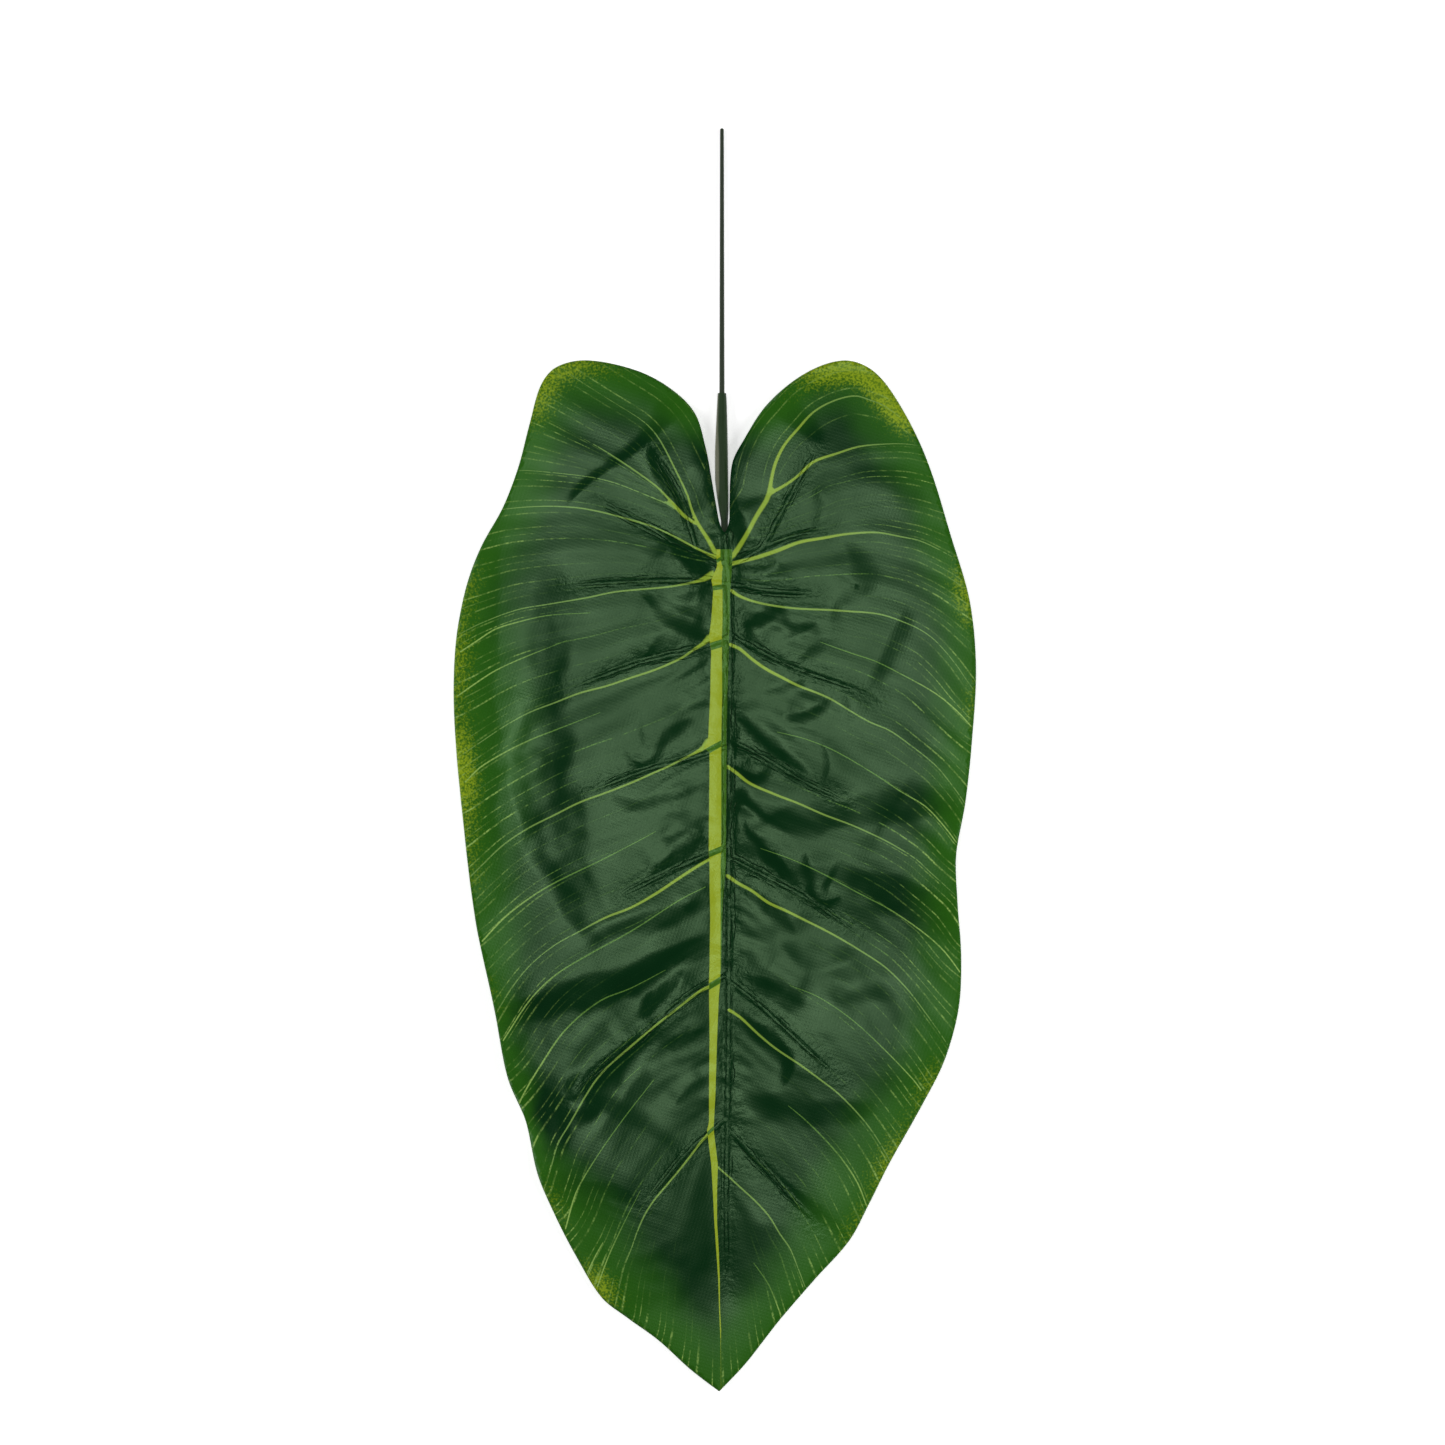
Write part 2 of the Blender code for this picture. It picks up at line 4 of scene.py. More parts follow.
import bpy
import numpy as np
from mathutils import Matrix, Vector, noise
from mathutils.geometry import delaunay_2d_cdt


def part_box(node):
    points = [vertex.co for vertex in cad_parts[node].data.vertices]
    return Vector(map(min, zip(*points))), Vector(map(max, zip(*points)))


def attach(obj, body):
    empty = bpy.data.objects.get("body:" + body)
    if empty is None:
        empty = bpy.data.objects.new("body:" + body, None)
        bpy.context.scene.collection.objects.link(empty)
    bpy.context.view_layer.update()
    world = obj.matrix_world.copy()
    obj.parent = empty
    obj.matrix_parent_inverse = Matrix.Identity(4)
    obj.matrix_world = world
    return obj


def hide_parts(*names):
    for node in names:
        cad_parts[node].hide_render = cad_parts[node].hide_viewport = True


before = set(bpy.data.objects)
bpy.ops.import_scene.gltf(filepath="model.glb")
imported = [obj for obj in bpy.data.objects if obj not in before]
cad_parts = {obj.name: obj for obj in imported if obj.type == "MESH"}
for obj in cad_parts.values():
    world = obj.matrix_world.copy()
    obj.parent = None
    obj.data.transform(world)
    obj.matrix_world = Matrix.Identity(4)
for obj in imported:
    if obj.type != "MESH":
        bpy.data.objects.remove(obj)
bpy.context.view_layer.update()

# Sizes are in millimetres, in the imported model's frame, except where a comment says metres
MM = 0.001
LEAF_TIP_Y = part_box("blade")[0].y / MM

# Fabric blade: it arches up beside the midrib and sinks to the table at its margin, tip and lobes
BLADE_THICKNESS = 0.5
MARGIN_LEVEL = 0.35
TABLE_SOFTNESS = 0.12
ARCH_HEIGHT = 1.6
ARCH_WIDTH = 30.0
MARGIN_FALL = 1.2
DROOP_POWER = 5
TIP_REACH = 70.0
LOBE_FALL = 2.8
LOBE_START_Y = 95.0
LOBE_TOP_Y = 145.0
QUILT_HEIGHT = 0.5
QUILT_REACH = 7.0

# Middle of the blade, beside the midrib
SPINE_HEIGHT = 2.45
SPINE_END_HEIGHT = 1.35
MIDRIB_TAPER_START_Y = -60.0
MIDRIB_END_Y = -192.5

# Embossed ribs and the creases beside them
BAND_HEIGHT = 0.45
BAND_HALF_WIDTH = 1.5
SIDE_BAND_SHARE = 0.6
SIDE_RIB_WIDTH = 0.75
MIDRIB_END_SHARE = 0.08
SIDE_RIB_END_SHARE = 0.25
CREASE_DEPTH = 0.06
CREASE_WIDTH = 0.5

# Folds: the share of their slope that is in the surface, and the shares of their length over which they fade
FOLD_SHARE = 0.5
FOLD_END_SHARE = 0.25
FOLD_LEAN_END_SHARE = 0.2
# In reaches of a fold: how near the midrib a far-reaching one fades, and how far any of them still counts
FOLD_CLEARANCE = 0.4
FOLD_EXTENT = 2.5
FOLD_SPREAD = 1.25
FOLD_FOOT = 0.35
FOLD_WOBBLE = 0.18
SHORT_REACH = 15.0
LEAN_GAIN = 1.6
STEEPEST_STEP = 1.5

# Ripples, crumples and puckers
RIPPLE_HEIGHT = 0.45
RIPPLE_REACH = 5.0
CRUMPLE_HEIGHT = 0.42
CRUMPLE_REACH = 34.0
PUCKER_HEIGHT = 0.35
PUCKER_REACH = 14.0
# Y at which they have faded towards the leaf's tip, the length of that fade, and the least share that is left
CALM_RIPPLES = (-190.0, 75.0, 0.2)
CALM_CRUMPLES = (-165.0, 50.0, 0.0)
CALM_PUCKERS = (-170.0, 60.0, 0.15)

# Noise patterns: step in X or across the veins, step in Y or in fine lines, and a level of their own
WOBBLE = (13.0, 13.0, 9.9)
FINE_WOBBLE = (5.0, 5.0, 4.4)
RIPPLE_PATTERN = (1 / 3.2, 1 / 0.42, 0.3)
CRUMPLE_PATTERN = (1 / 4.5, 1 / 0.95, 5.1)
CRUMPLE_PATCHES = (24.0, 24.0, 2.2)
PUCKER_PATTERN = (7.0, 4.5, 7.7)

# How finely the blade is cut
MARGIN_STEP = 1.5
RIB_STEP = 1.2
VEIN_STEP = 1.0
GRID_STEP = 1.4
FOLD_STEP = 1.5
NARROW_FOLD = 8.2
# Rows of points beside ribs and narrow folds, as shares of their width, and the least gap between points
RIB_ROWS = (0.55, 1.0, 1.5)
FOLD_ROWS = (0.25, 0.6)
RIB_GAP = 0.45
FOLD_GAP = 0.6
GAP_SHARE = 0.55
# A distance over a half width counts up to this
FAR_RATIO = 50.0
# Middle and half size of the box that holds the sinus
SINUS_MIDDLE = (3.0, 103.0)
SINUS_HALF = (15.0, 23.0)

# Margin, from the tip up the right side, round both lobes and down the left side
OUTLINE = [
    (1.5, LEAF_TIP_Y), (11, -218.5), (23.5, -202.5), (36, -188), (48.5, -174), (55.5, -161), (63, -146),
    (74.5, -125.5), (83, -108.5), (88, -90), (89, -71), (87.5, -51), (87, -34.5), (90.5, -15), (93, 8.5),
    (94.3, 34), (92, 57.5), (85.5, 80), (76.5, 108.5), (67, 128), (57.5, 140.5), (47, 144.5), (33, 140),
    (19, 128.5), (9.5, 114), (6.5, 108), (5.5, 101), (5.3, 92), (5.1, 86), (3.5, 82), (1.5, 86), (0.5, 91),
    (-1, 99.5), (-3.5, 113), (-7.5, 125.5), (-16.5, 134.5), (-29, 141), (-46.5, 144.5), (-57.5, 142),
    (-63, 135.5), (-67, 121.5), (-71, 106), (-76.5, 91.5), (-85, 76), (-90.5, 60.5), (-94, 39.5),
    (-94.2, 13.5), (-91, -22), (-86.5, -58), (-80, -88.5), (-75, -114.5), (-68.5, -131), (-64, -150),
    (-57.5, -165.5), (-50, -180), (-41, -194.5), (-31.5, -202), (-20.5, -210), (-9, -220.5),
    (1.5, LEAF_TIP_Y),
]

# Embossed midrib, from the sinus towards the leaf's tip
MIDRIB = [
    (3.5, 81), (5, 61), (5.5, 43), (5, 6.5), (5, -36.5), (5, -80.5), (4.5, -133.5), (4, -159),
    (4.5, MIDRIB_END_Y),
]

# Embossed side ribs, each from the rib that it grows out of towards the margin
SIDE_RIBS = [
    [(4.3, 70.5), (-9, 76), (-27, 85.5), (-45.5, 94.5)],
    [(-6.5, 75), (-9, 83.5), (-14.5, 97.5), (-23.5, 112)],
    [(4.8, 63.5), (-9, 64.5), (-27, 64.5), (-53, 63)],
    [(5.4, 44.5), (-9, 39), (-27, 35), (-54, 25)],
    [(5, 5), (-9, 0.5), (-27, -4.5), (-46, -12)],
    [(5, -31.5), (-9, -37), (-23.5, -44), (-34.5, -49.5)],
    [(5, -77), (-12.5, -88), (-27, -101), (-41.5, -111.5), (-54, -125)],
    [(4.5, -129.5), (-9, -141), (-25.5, -160.5)],
    [(4.5, 69), (14.5, 75), (27, 80.5), (42.5, 83)],
    [(17.5, 77), (21.5, 84.5), (30.5, 101.5), (37, 113.5)],
    [(5, 63.5), (20, 61), (38, 60)],
    [(5.4, 45.5), (16.5, 39), (30.5, 32.5), (58, 23)],
    [(5, 7), (16.5, 1.5), (30.5, -7), (47, -15)],
    [(5, -35.5), (20, -43), (36, -52), (52.5, -63.5)],
    [(5, -80), (16.5, -89), (30.5, -102), (45, -115)],
    [(4.5, -133), (16.5, -146.5), (38, -169)],
]

# Where the margin droops, or is lifted over the sleeve's end: x, y, reach, drop
DROOPS = [
    (-92, 55, 28, 2.6), (-91, 8, 30, 2), (-67, -134, 13, 3.2), (-46, -188, 14, 0.8), (-80, -98, 18, 1.6),
    (89, -62, 14, 1.4), (47, 143, 20, 1), (76, -118, 18, 0.4), (3.5, 82, 13, -1.4), (50, -172, 18, 0.6),
]

# Folds: slope of the steep face, reach of the gentle one behind it, and a line along the middle of the
# steep face with its width at each point; the high side is on the left going along the line
FOLDS = [
    (0.16, 35, [(-77.5, 93.5, 5), (-83.5, 74, 11.5), (-86.5, 50.5, 14.5), (-87, 28.5, 15), (-86.5, 7, 14.5),
        (-85, -14.5, 12.5), (-82, -36.5, 10), (-79, -56, 6)]),
    (0.2, 30, [(-38, -78, 5), (-46, -56, 13), (-53, -38, 17.5), (-59, -20, 21), (-61.5, -2, 21),
        (-61, 16, 18), (-60.5, 36, 16), (-59, 56, 13.5), (-57.5, 72, 11), (-54.5, 86.5, 4.5)]),
    (0.16, 12, [(-40, -71.5, 3.5), (-49.5, -57, 8), (-58.5, -43.5, 8), (-65.5, -30, 7), (-69, -14.5, 6.5),
        (-70, 1.5, 6.5), (-69, 16, 6), (-66, 25, 3)]),
    (0.13, 12, [(-37, -52.5, 3), (-44, -43.5, 5), (-47, -32.5, 6.5), (-51.5, -22, 7), (-53.5, -7.5, 7),
        (-55.5, 7, 6.5), (-56, 21.5, 5), (-55.5, 36, 4.5), (-54, 47.5, 3)]),
    (0.36, 14, [(-6, 137, 5), (-14, 129, 6.5), (-21, 121.5, 6), (-27, 114.5, 4.5), (-36, 108, 3.5),
        (-47, 100, 3), (-56.5, 90, 3)]),
    (0.39, 11, [(-25.5, 115.5, 2), (-20.5, 106.5, 5.5), (-15.5, 96, 6.5), (-9, 85, 3)]),
    (0.18, 6, [(-11, 102.5, 3), (-6.5, 102, 6), (-1, 100, 5)]),
    (0.42, 14, [(0.5, 69, 3.5), (-6.5, 70.5, 8), (-12.5, 76, 6), (-19, 82, 2)]),
    (0.34, 10, [(-1, 45.5, 4.5), (-8.5, 46, 6), (-15.5, 50.5, 5), (-21.5, 56, 4), (-27, 61, 2)]),
    (0.17, 7, [(-3.5, 50.5, 2), (-12, 54.5, 3.5), (-21.5, 60.5, 2)]),
    (0.17, 7, [(-25.5, 35, 2), (-21.5, 41, 4), (-17, 45.5, 2)]),
    (0.29, 8, [(-34.5, 5, 2), (-30.5, -1, 3.5), (-26.5, -2.5, 3), (-21.5, 0, 3.5), (-18, 6.5, 4.5),
        (-13.5, 11, 5), (-7, 14.5, 3)]),
    (0.13, 7, [(-39.5, -13, 3), (-27, -17, 5.5), (-14.5, -15, 5.5), (-5.5, -7.5, 3)]),
    (0.39, 8, [(-25.5, -43.5, 2), (-19, -39, 4.5), (-11, -33.5, 4.5), (-2.5, -28, 3.5)]),
    (0.2, 6, [(-19, -30.5, 2), (-11, -27, 4), (-3.5, -27, 3)]),
    (0.25, 10, [(-50, -66, 3), (-33, -60.5, 7.5), (-15.5, -57, 7.5), (-0.5, -52, 3)]),
    (0.26, 5, [(-11, -55, 2), (-6, -50.5, 3.5), (-1, -45.5, 3)]),
    (0.43, 30, [(-92, -108.5, 7), (-77.5, -95.5, 9.5), (-58, -87, 10), (-41.5, -83, 11), (-26.5, -79, 11),
        (-12.5, -71.5, 9), (3.5, -63, 3)]),
    (0.42, 13, [(-10.5, -72.5, 2), (-16.5, -81, 7), (-23, -89, 6.5), (-29.5, -95, 3)]),
    (0.21, 8, [(-23, -81.5, 2), (-26.5, -88, 5), (-33.5, -95, 6), (-40, -95.5, 2)]),
    (0.62, 28, [(-55.5, -137.5, 4.5), (-49, -125, 11), (-41, -115, 9.5), (-31.5, -105.5, 6),
        (-19, -97, 2)]),
    (0.46, 30, [(-47.5, -109, 3.5), (-53, -118.5, 11), (-57.5, -127.5, 15), (-62, -136.5, 16),
        (-66, -147, 12.5), (-70.5, -156, 4.5)]),
    (0.23, 10, [(-57.5, -161, 3), (-49.5, -150.5, 4.5), (-41.5, -138, 5.5), (-32.5, -125, 5.5),
        (-24, -112.5, 5.5), (-17, -104, 5), (-9, -100, 4.5), (1, -97.5, 2)]),
    (0.17, 8, [(-54, -156, 2), (-46, -154.5, 4.5), (-36, -156, 6), (-27, -160.5, 2)]),
    (0.18, 7, [(-14, -125, 2), (-8.5, -119.5, 4.5), (-2.5, -115.5, 2)]),
    (0.05, 20, [(-56, -152, 3.5), (-51, -164.5, 8), (-44.5, -175.5, 8), (-37, -186.5, 4.5)]),
    (0.15, 30, [(-45, -196.5, 4.5), (-27, -190, 19), (-4.5, -183.5, 26), (15.5, -177, 21),
        (30.5, -170.5, 6.5)]),
    (0.1, 25, [(-88.5, -127.5, 7), (-70.5, -110, 20), (-52.5, -99, 21.5), (-34.5, -92.5, 14.5),
        (-23.5, -89, 5.5)]),
    (0.07, 20, [(-3.5, -164.5, 7), (-17, -148, 21.5), (-28.5, -134, 21.5), (-38, -121, 7)]),
    (0.08, 25, [(90.5, -97.5, 11), (68.5, -96, 20), (45, -94, 20), (23.5, -89.5, 8.5)]),
    (0.07, 30, [(85, 75.5, 3.5), (72, 95.5, 13), (61.5, 108, 16.5), (48, 114.5, 17.5), (29.5, 121, 11)]),
    (0.26, 14, [(41, 113, 2), (35.5, 118, 6), (29.5, 125, 8.5), (20.5, 134, 10)]),
    (0.18, 7, [(35, 99, 2), (37, 91.5, 5.5), (35, 83, 2)]),
    (0.44, 12, [(6, 95, 2), (7, 88.5, 5), (8.5, 81, 6), (8.5, 75, 3)]),
    (0.29, 8, [(6, 67, 3.5), (14.5, 68, 5.5), (23.5, 70, 2)]),
    (0.39, 6, [(6, 62, 2.5), (12.5, 61, 4), (20.5, 61, 2.5), (30.5, 60, 1.5)]),
    (0.4, 9, [(25, 56, 2), (20, 53, 4.5), (15, 50.5, 5.5), (9.5, 49.5, 3.5)]),
    (0.23, 8, [(37, 50, 2), (31.5, 47.5, 4.5), (25, 45, 4.5), (19, 44, 2)]),
    (0.12, 8, [(29.5, 34.5, 2), (36, 39.5, 4.5), (49, 44.5, 2)]),
    (0.17, 12, [(46, 45.5, 2), (43.5, 51, 4.5), (45, 56.5, 4.5), (54, 60.5, 6.5), (54.5, 67, 8),
        (51.5, 73.5, 6.5), (46.5, 81.5, 3)]),
    (0.14, 16, [(55.5, 23.5, 3.5), (60.5, 33, 7), (65.5, 41.5, 7), (69, 49.5, 6.5), (72, 57.5, 3)]),
    (0.2, 6, [(17.5, 23.5, 2), (24.5, 25, 4.5), (33.5, 28, 3)]),
    (0.31, 6, [(24, 15.5, 2), (31, 15, 4.5), (38, 18, 4.5), (43.5, 22, 2.5)]),
    (0.18, 5, [(46, 26, 2), (47, 20, 4.5), (47.5, 13.5, 2)]),
    (0.49, 9, [(36, -6, 2), (30.5, -2.5, 3.5), (24.5, 1.5, 4.5), (17, 8.5, 4.5), (11, 14, 3.5),
        (6.5, 17.5, 2)]),
    (0.26, 6, [(37, 6.5, 2), (40, 1.5, 3), (40, -4, 3), (38, -9, 2)]),
    (0.39, 8, [(4.5, 23, 3), (4.5, 15, 4.5), (6, 6.5, 3.5), (7, -1, 2)]),
    (0.44, 7, [(6.5, -2.5, 2), (10.5, -5.5, 3.5), (15, -7.5, 4), (19, -5, 3.5), (21.5, -1, 2)]),
    (0.6, 15, [(12.5, -10.5, 3), (8.5, -13.5, 6), (6.5, -17.5, 4), (6, -22.5, 3.5), (6, -29, 3),
        (8, -36.5, 2)]),
    (0.22, 30, [(97, -17.5, 16), (74, -16, 13.5), (53, -17.5, 11.5), (30.5, -22, 10), (8.5, -17.5, 2)]),
    (0.47, 11, [(10, -21, 2), (11.5, -26, 2.5), (16, -31.5, 3.5), (21.5, -37.5, 5.5), (26.5, -43.5, 5),
        (30.5, -48.5, 2.5)]),
    (0.47, 8, [(31.5, -32.5, 2.5), (32.5, -39, 4.5), (33.5, -45, 4.5), (35, -49.5, 3.5), (39, -52.5, 3),
        (46, -50, 2)]),
    (0.33, 30, [(38, -35.5, 3.5), (49, -43.5, 10), (60.5, -49, 13), (71, -52, 14.5), (81.5, -56.5, 16),
        (94, -63, 16), (106.5, -70.5, 14.5)]),
    (0.27, 8, [(7, -43, 2), (14, -48.5, 4), (20, -54.5, 5.5), (25.5, -60, 6), (29.5, -66, 2)]),
    (0.24, 14, [(55.5, -66.5, 2), (40, -71.5, 8.5), (29.5, -68, 8.5), (21.5, -61.5, 3.5)]),
    (0.23, 8, [(8.5, -79, 2), (18.5, -81, 5), (26.5, -86.5, 6), (33, -89.5, 2)]),
    (0.12, 20, [(77.5, -79.5, 5), (59.5, -83.5, 9.5), (44.5, -85, 9.5), (29.5, -82.5, 4.5)]),
    (0.36, 9, [(7, -89.5, 2), (12.5, -95.5, 4.5), (18.5, -100, 6), (25, -105.5, 5), (26.5, -111.5, 4.5),
        (23.5, -119.5, 2)]),
    (0.05, 30, [(33, -114, 6), (56, -120, 14.5), (74, -117, 14.5), (91.5, -110.5, 11)]),
    (0.2, 16, [(8.5, -123.5, 3), (20, -124.5, 8.5), (30.5, -126.5, 10), (46, -128, 8.5),
        (61, -124.5, 3.5)]),
    (0.23, 8, [(7, -136.5, 2), (16.5, -146, 3.5), (27, -155.5, 4), (38.5, -165, 4.5), (51, -176.5, 4.5)]),
]

# Printed veins, from the midrib out past the margin: x, y, half width
LEFT_VEINS = [
    [(0.5, 74, 1.08), (-2.5, 79.5, 0.9), (-6, 85, 0.72), (-8.5, 90.5, 0.54), (-10, 95.5, 0.47),
     (-15, 106, 0.38), (-20, 115.5, 0.31), (-24, 120.5, 0.22), (-28.5, 124, 0.11), (-36.5, 129, 0),
     (-49, 137, 0), (-57.5, 143, 0)],
    [(-6.5, 85, 0.72), (-10.5, 87.5, 0.72), (-13, 90, 0.83), (-17, 94.5, 0.51), (-21, 98.5, 0.42),
     (-28.5, 104, 0.36), (-36, 109, 0.33), (-41.5, 112.5, 0.22), (-50.5, 117.5, 0), (-61.5, 123.5, 0),
     (-70.5, 127.5, 0)],
    [(-13, 90, 0.6), (-17, 92.2, 0.3), (-20, 93.5, 0.24), (-28.5, 97, 0.21), (-36.5, 100, 0.19),
     (-45, 102, 0.17), (-57, 103.5, 0.15), (-69.5, 104.5, 0.12), (-79.5, 104, 0)],
    [(0, 73, 0.72), (-7, 76.5, 0.54), (-17.5, 82, 0.42), (-25, 85, 0.4), (-33.5, 87.5, 0.38),
     (-41.5, 89.5, 0.34), (-50, 91, 0.31), (-62, 91.5, 0.23), (-76, 90.5, 0.14), (-85.5, 88.5, 0)],
    [(-1, 67, 1.63), (-3.5, 65.5, 1.26), (-6, 64.5, 0.65), (-16, 62.5, 0.42), (-26.5, 61.5, 0.38),
     (-36.5, 60.5, 0.36), (-46, 58.5, 0.34), (-60.5, 56, 0.27), (-71.5, 54, 0.22), (-85, 49, 0.18),
     (-94, 44.5, 0.14)],
    [(-2, 44, 1.63), (-3.5, 42.5, 1.08), (-8, 39.5, 0.54), (-12.5, 36.5, 0.51), (-21.5, 32.5, 0.47),
     (-30.5, 29.5, 0.45), (-39.5, 26.5, 0.43), (-49, 24, 0.4), (-58, 20.5, 0.33), (-67, 17, 0.27),
     (-76, 12, 0.23), (-85, 6, 0.2), (-94, 0, 0.16)],
    [(-2.5, 6.5, 1.63), (-4.5, 4, 1.08), (-9, 1.5, 0.51), (-17, -2.5, 0.47), (-21.5, -4.5, 0.47),
     (-30.5, -8.5, 0.45), (-39.5, -12, 0.43), (-49, -15.5, 0.42), (-58, -20, 0.38), (-67, -24.5, 0.33),
     (-76, -30.5, 0.29), (-85, -39, 0.25), (-91.5, -45.5, 0.18)],
    [(-2, -36, 0.72), (-5.5, -38, 0.69), (-12.5, -42.5, 0.65), (-21.5, -48.5, 0.61), (-30.5, -53.5, 0.54),
     (-39.5, -57, 0.47), (-49, -62, 0.29), (-58, -67, 0.22), (-67, -74.5, 0.2), (-74, -83.5, 0.18),
     (-81.5, -96, 0.14)],
    [(-2, -82, 0.72), (-6, -84, 0.58), (-14.5, -90.5, 0.47), (-21.5, -96, 0.47), (-30.5, -103.5, 0.45),
     (-39.5, -111.5, 0.42), (-45, -118.5, 0.38), (-52.5, -131.5, 0.33), (-56.5, -138.5, 0.25),
     (-59, -147, 0.18), (-61.5, -155.5, 0)],
    [(-1.5, -134.5, 0.72), (-5, -138, 0.54), (-9.5, -144, 0.47), (-17, -153, 0.42), (-22, -159, 0.38),
     (-25.5, -164.5, 0.33), (-28.5, -171.5, 0.25), (-30, -176, 0.2), (-33, -184, 0.14), (-36, -199, 0)],
]
RIGHT_VEINS = [
    [(5.2, 72.6, 0.9), (6.6, 73.8, 1.15), (11, 80.5, 0.99), (15, 88, 0.99), (18.5, 93.5, 1.08),
     (19.5, 96, 1.12), (20.5, 102, 0.76), (22, 107.5, 0.72), (25, 113.5, 0.63), (30, 119.5, 0.58),
     (35.5, 125.5, 0.45), (42.5, 129.5, 0.36), (50.5, 131.5, 0.33), (56, 130, 0.25), (61, 128, 0.18),
     (68.5, 122.5, 0), (77.5, 114.5, 0)],
    [(19.5, 96, 0.9), (25, 99, 0.65), (30, 102.5, 0.61), (35.5, 107.5, 0.63), (44, 110.5, 0.51),
     (52, 113, 0.4), (62, 114, 0.23), (69.5, 114, 0.14), (76, 113, 0), (83, 111, 0)],
    [(5.4, 70.6, 0.9), (11, 72, 0.81), (15, 73, 0.87), (22.5, 75.5, 0.87), (30.5, 78.5, 0.72),
     (39, 80, 0.63), (48, 81.5, 0.51), (58.5, 82, 0.4), (67, 80.5, 0.33), (74, 79, 0.25), (82.5, 75, 0.2),
     (88.5, 71.5, 0), (96.5, 66, 0)],
    [(6, 61, 0.81), (9, 59, 0.65), (14.5, 57, 0.51), (21.5, 55.5, 0.47), (30.5, 54.5, 0.45),
     (41.5, 54, 0.43), (49, 53.5, 0.42), (56, 53, 0.36), (61.5, 52, 0.33), (68.5, 49.5, 0.27),
     (74, 47, 0.22), (79.5, 43, 0.18), (86.5, 35, 0.14), (92, 27, 0), (97, 21, 0)],
    [(5.5, 41.5, 0.81), (9, 40, 0.72), (12.5, 37, 0.69), (18, 33, 0.69), (24.5, 29.5, 0.63),
     (30.5, 26.5, 0.54), (37, 24, 0.47), (42.5, 21.5, 0.43), (49, 17.5, 0.36), (56, 13.5, 0.33),
     (63, 10.5, 0.31), (69.5, 6, 0.27), (79.5, -2, 0.23), (85, -8.5, 0.22), (90, -15.5, 0.18),
     (94.5, -23.5, 0)],
    [(4.5, -2.5, 0.81), (8, -5, 0.76), (12.5, -8.5, 0.65), (21.5, -12.5, 0.54), (30.5, -16, 0.47),
     (39.5, -20, 0.42), (49, -23.5, 0.36), (58, -27.5, 0.33), (63, -30, 0.29), (72, -35.5, 0.23),
     (77.5, -40.5, 0.2), (83, -45.5, 0.16), (88, -50.5, 0), (94, -60, 0)],
    [(4.5, -42, 0.81), (8, -44.5, 0.72), (13.5, -47.5, 0.65), (19, -51.5, 0.65), (25.5, -54.5, 0.6),
     (33.5, -58.5, 0.51), (39.5, -61.5, 0.47), (45, -64.5, 0.42), (52.5, -69, 0.36), (61.5, -75, 0.33),
     (69.5, -83, 0.27), (76, -91.5, 0.22), (83, -101.5, 0.16), (87.5, -109, 0)],
    [(5, -90.5, 0.72), (9, -93, 0.61), (15.5, -99, 0.51), (21.5, -104, 0.47), (30.5, -110, 0.43),
     (38, -115.5, 0.38), (45, -121, 0.34), (53.5, -130, 0.29), (59.5, -138.5, 0.22), (64.5, -148, 0.16),
     (67.5, -157.5, 0)],
    [(0.5, -147, 0.45), (4, -150, 0.4), (9, -154.5, 0.36), (14.5, -159.5, 0.36), (19.5, -165, 0.34),
     (23.5, -171.5, 0.31), (27, -176.5, 0.29), (29.5, -182.5, 0.23), (32.5, -190.5, 0.18), (35.5, -198, 0)],
]

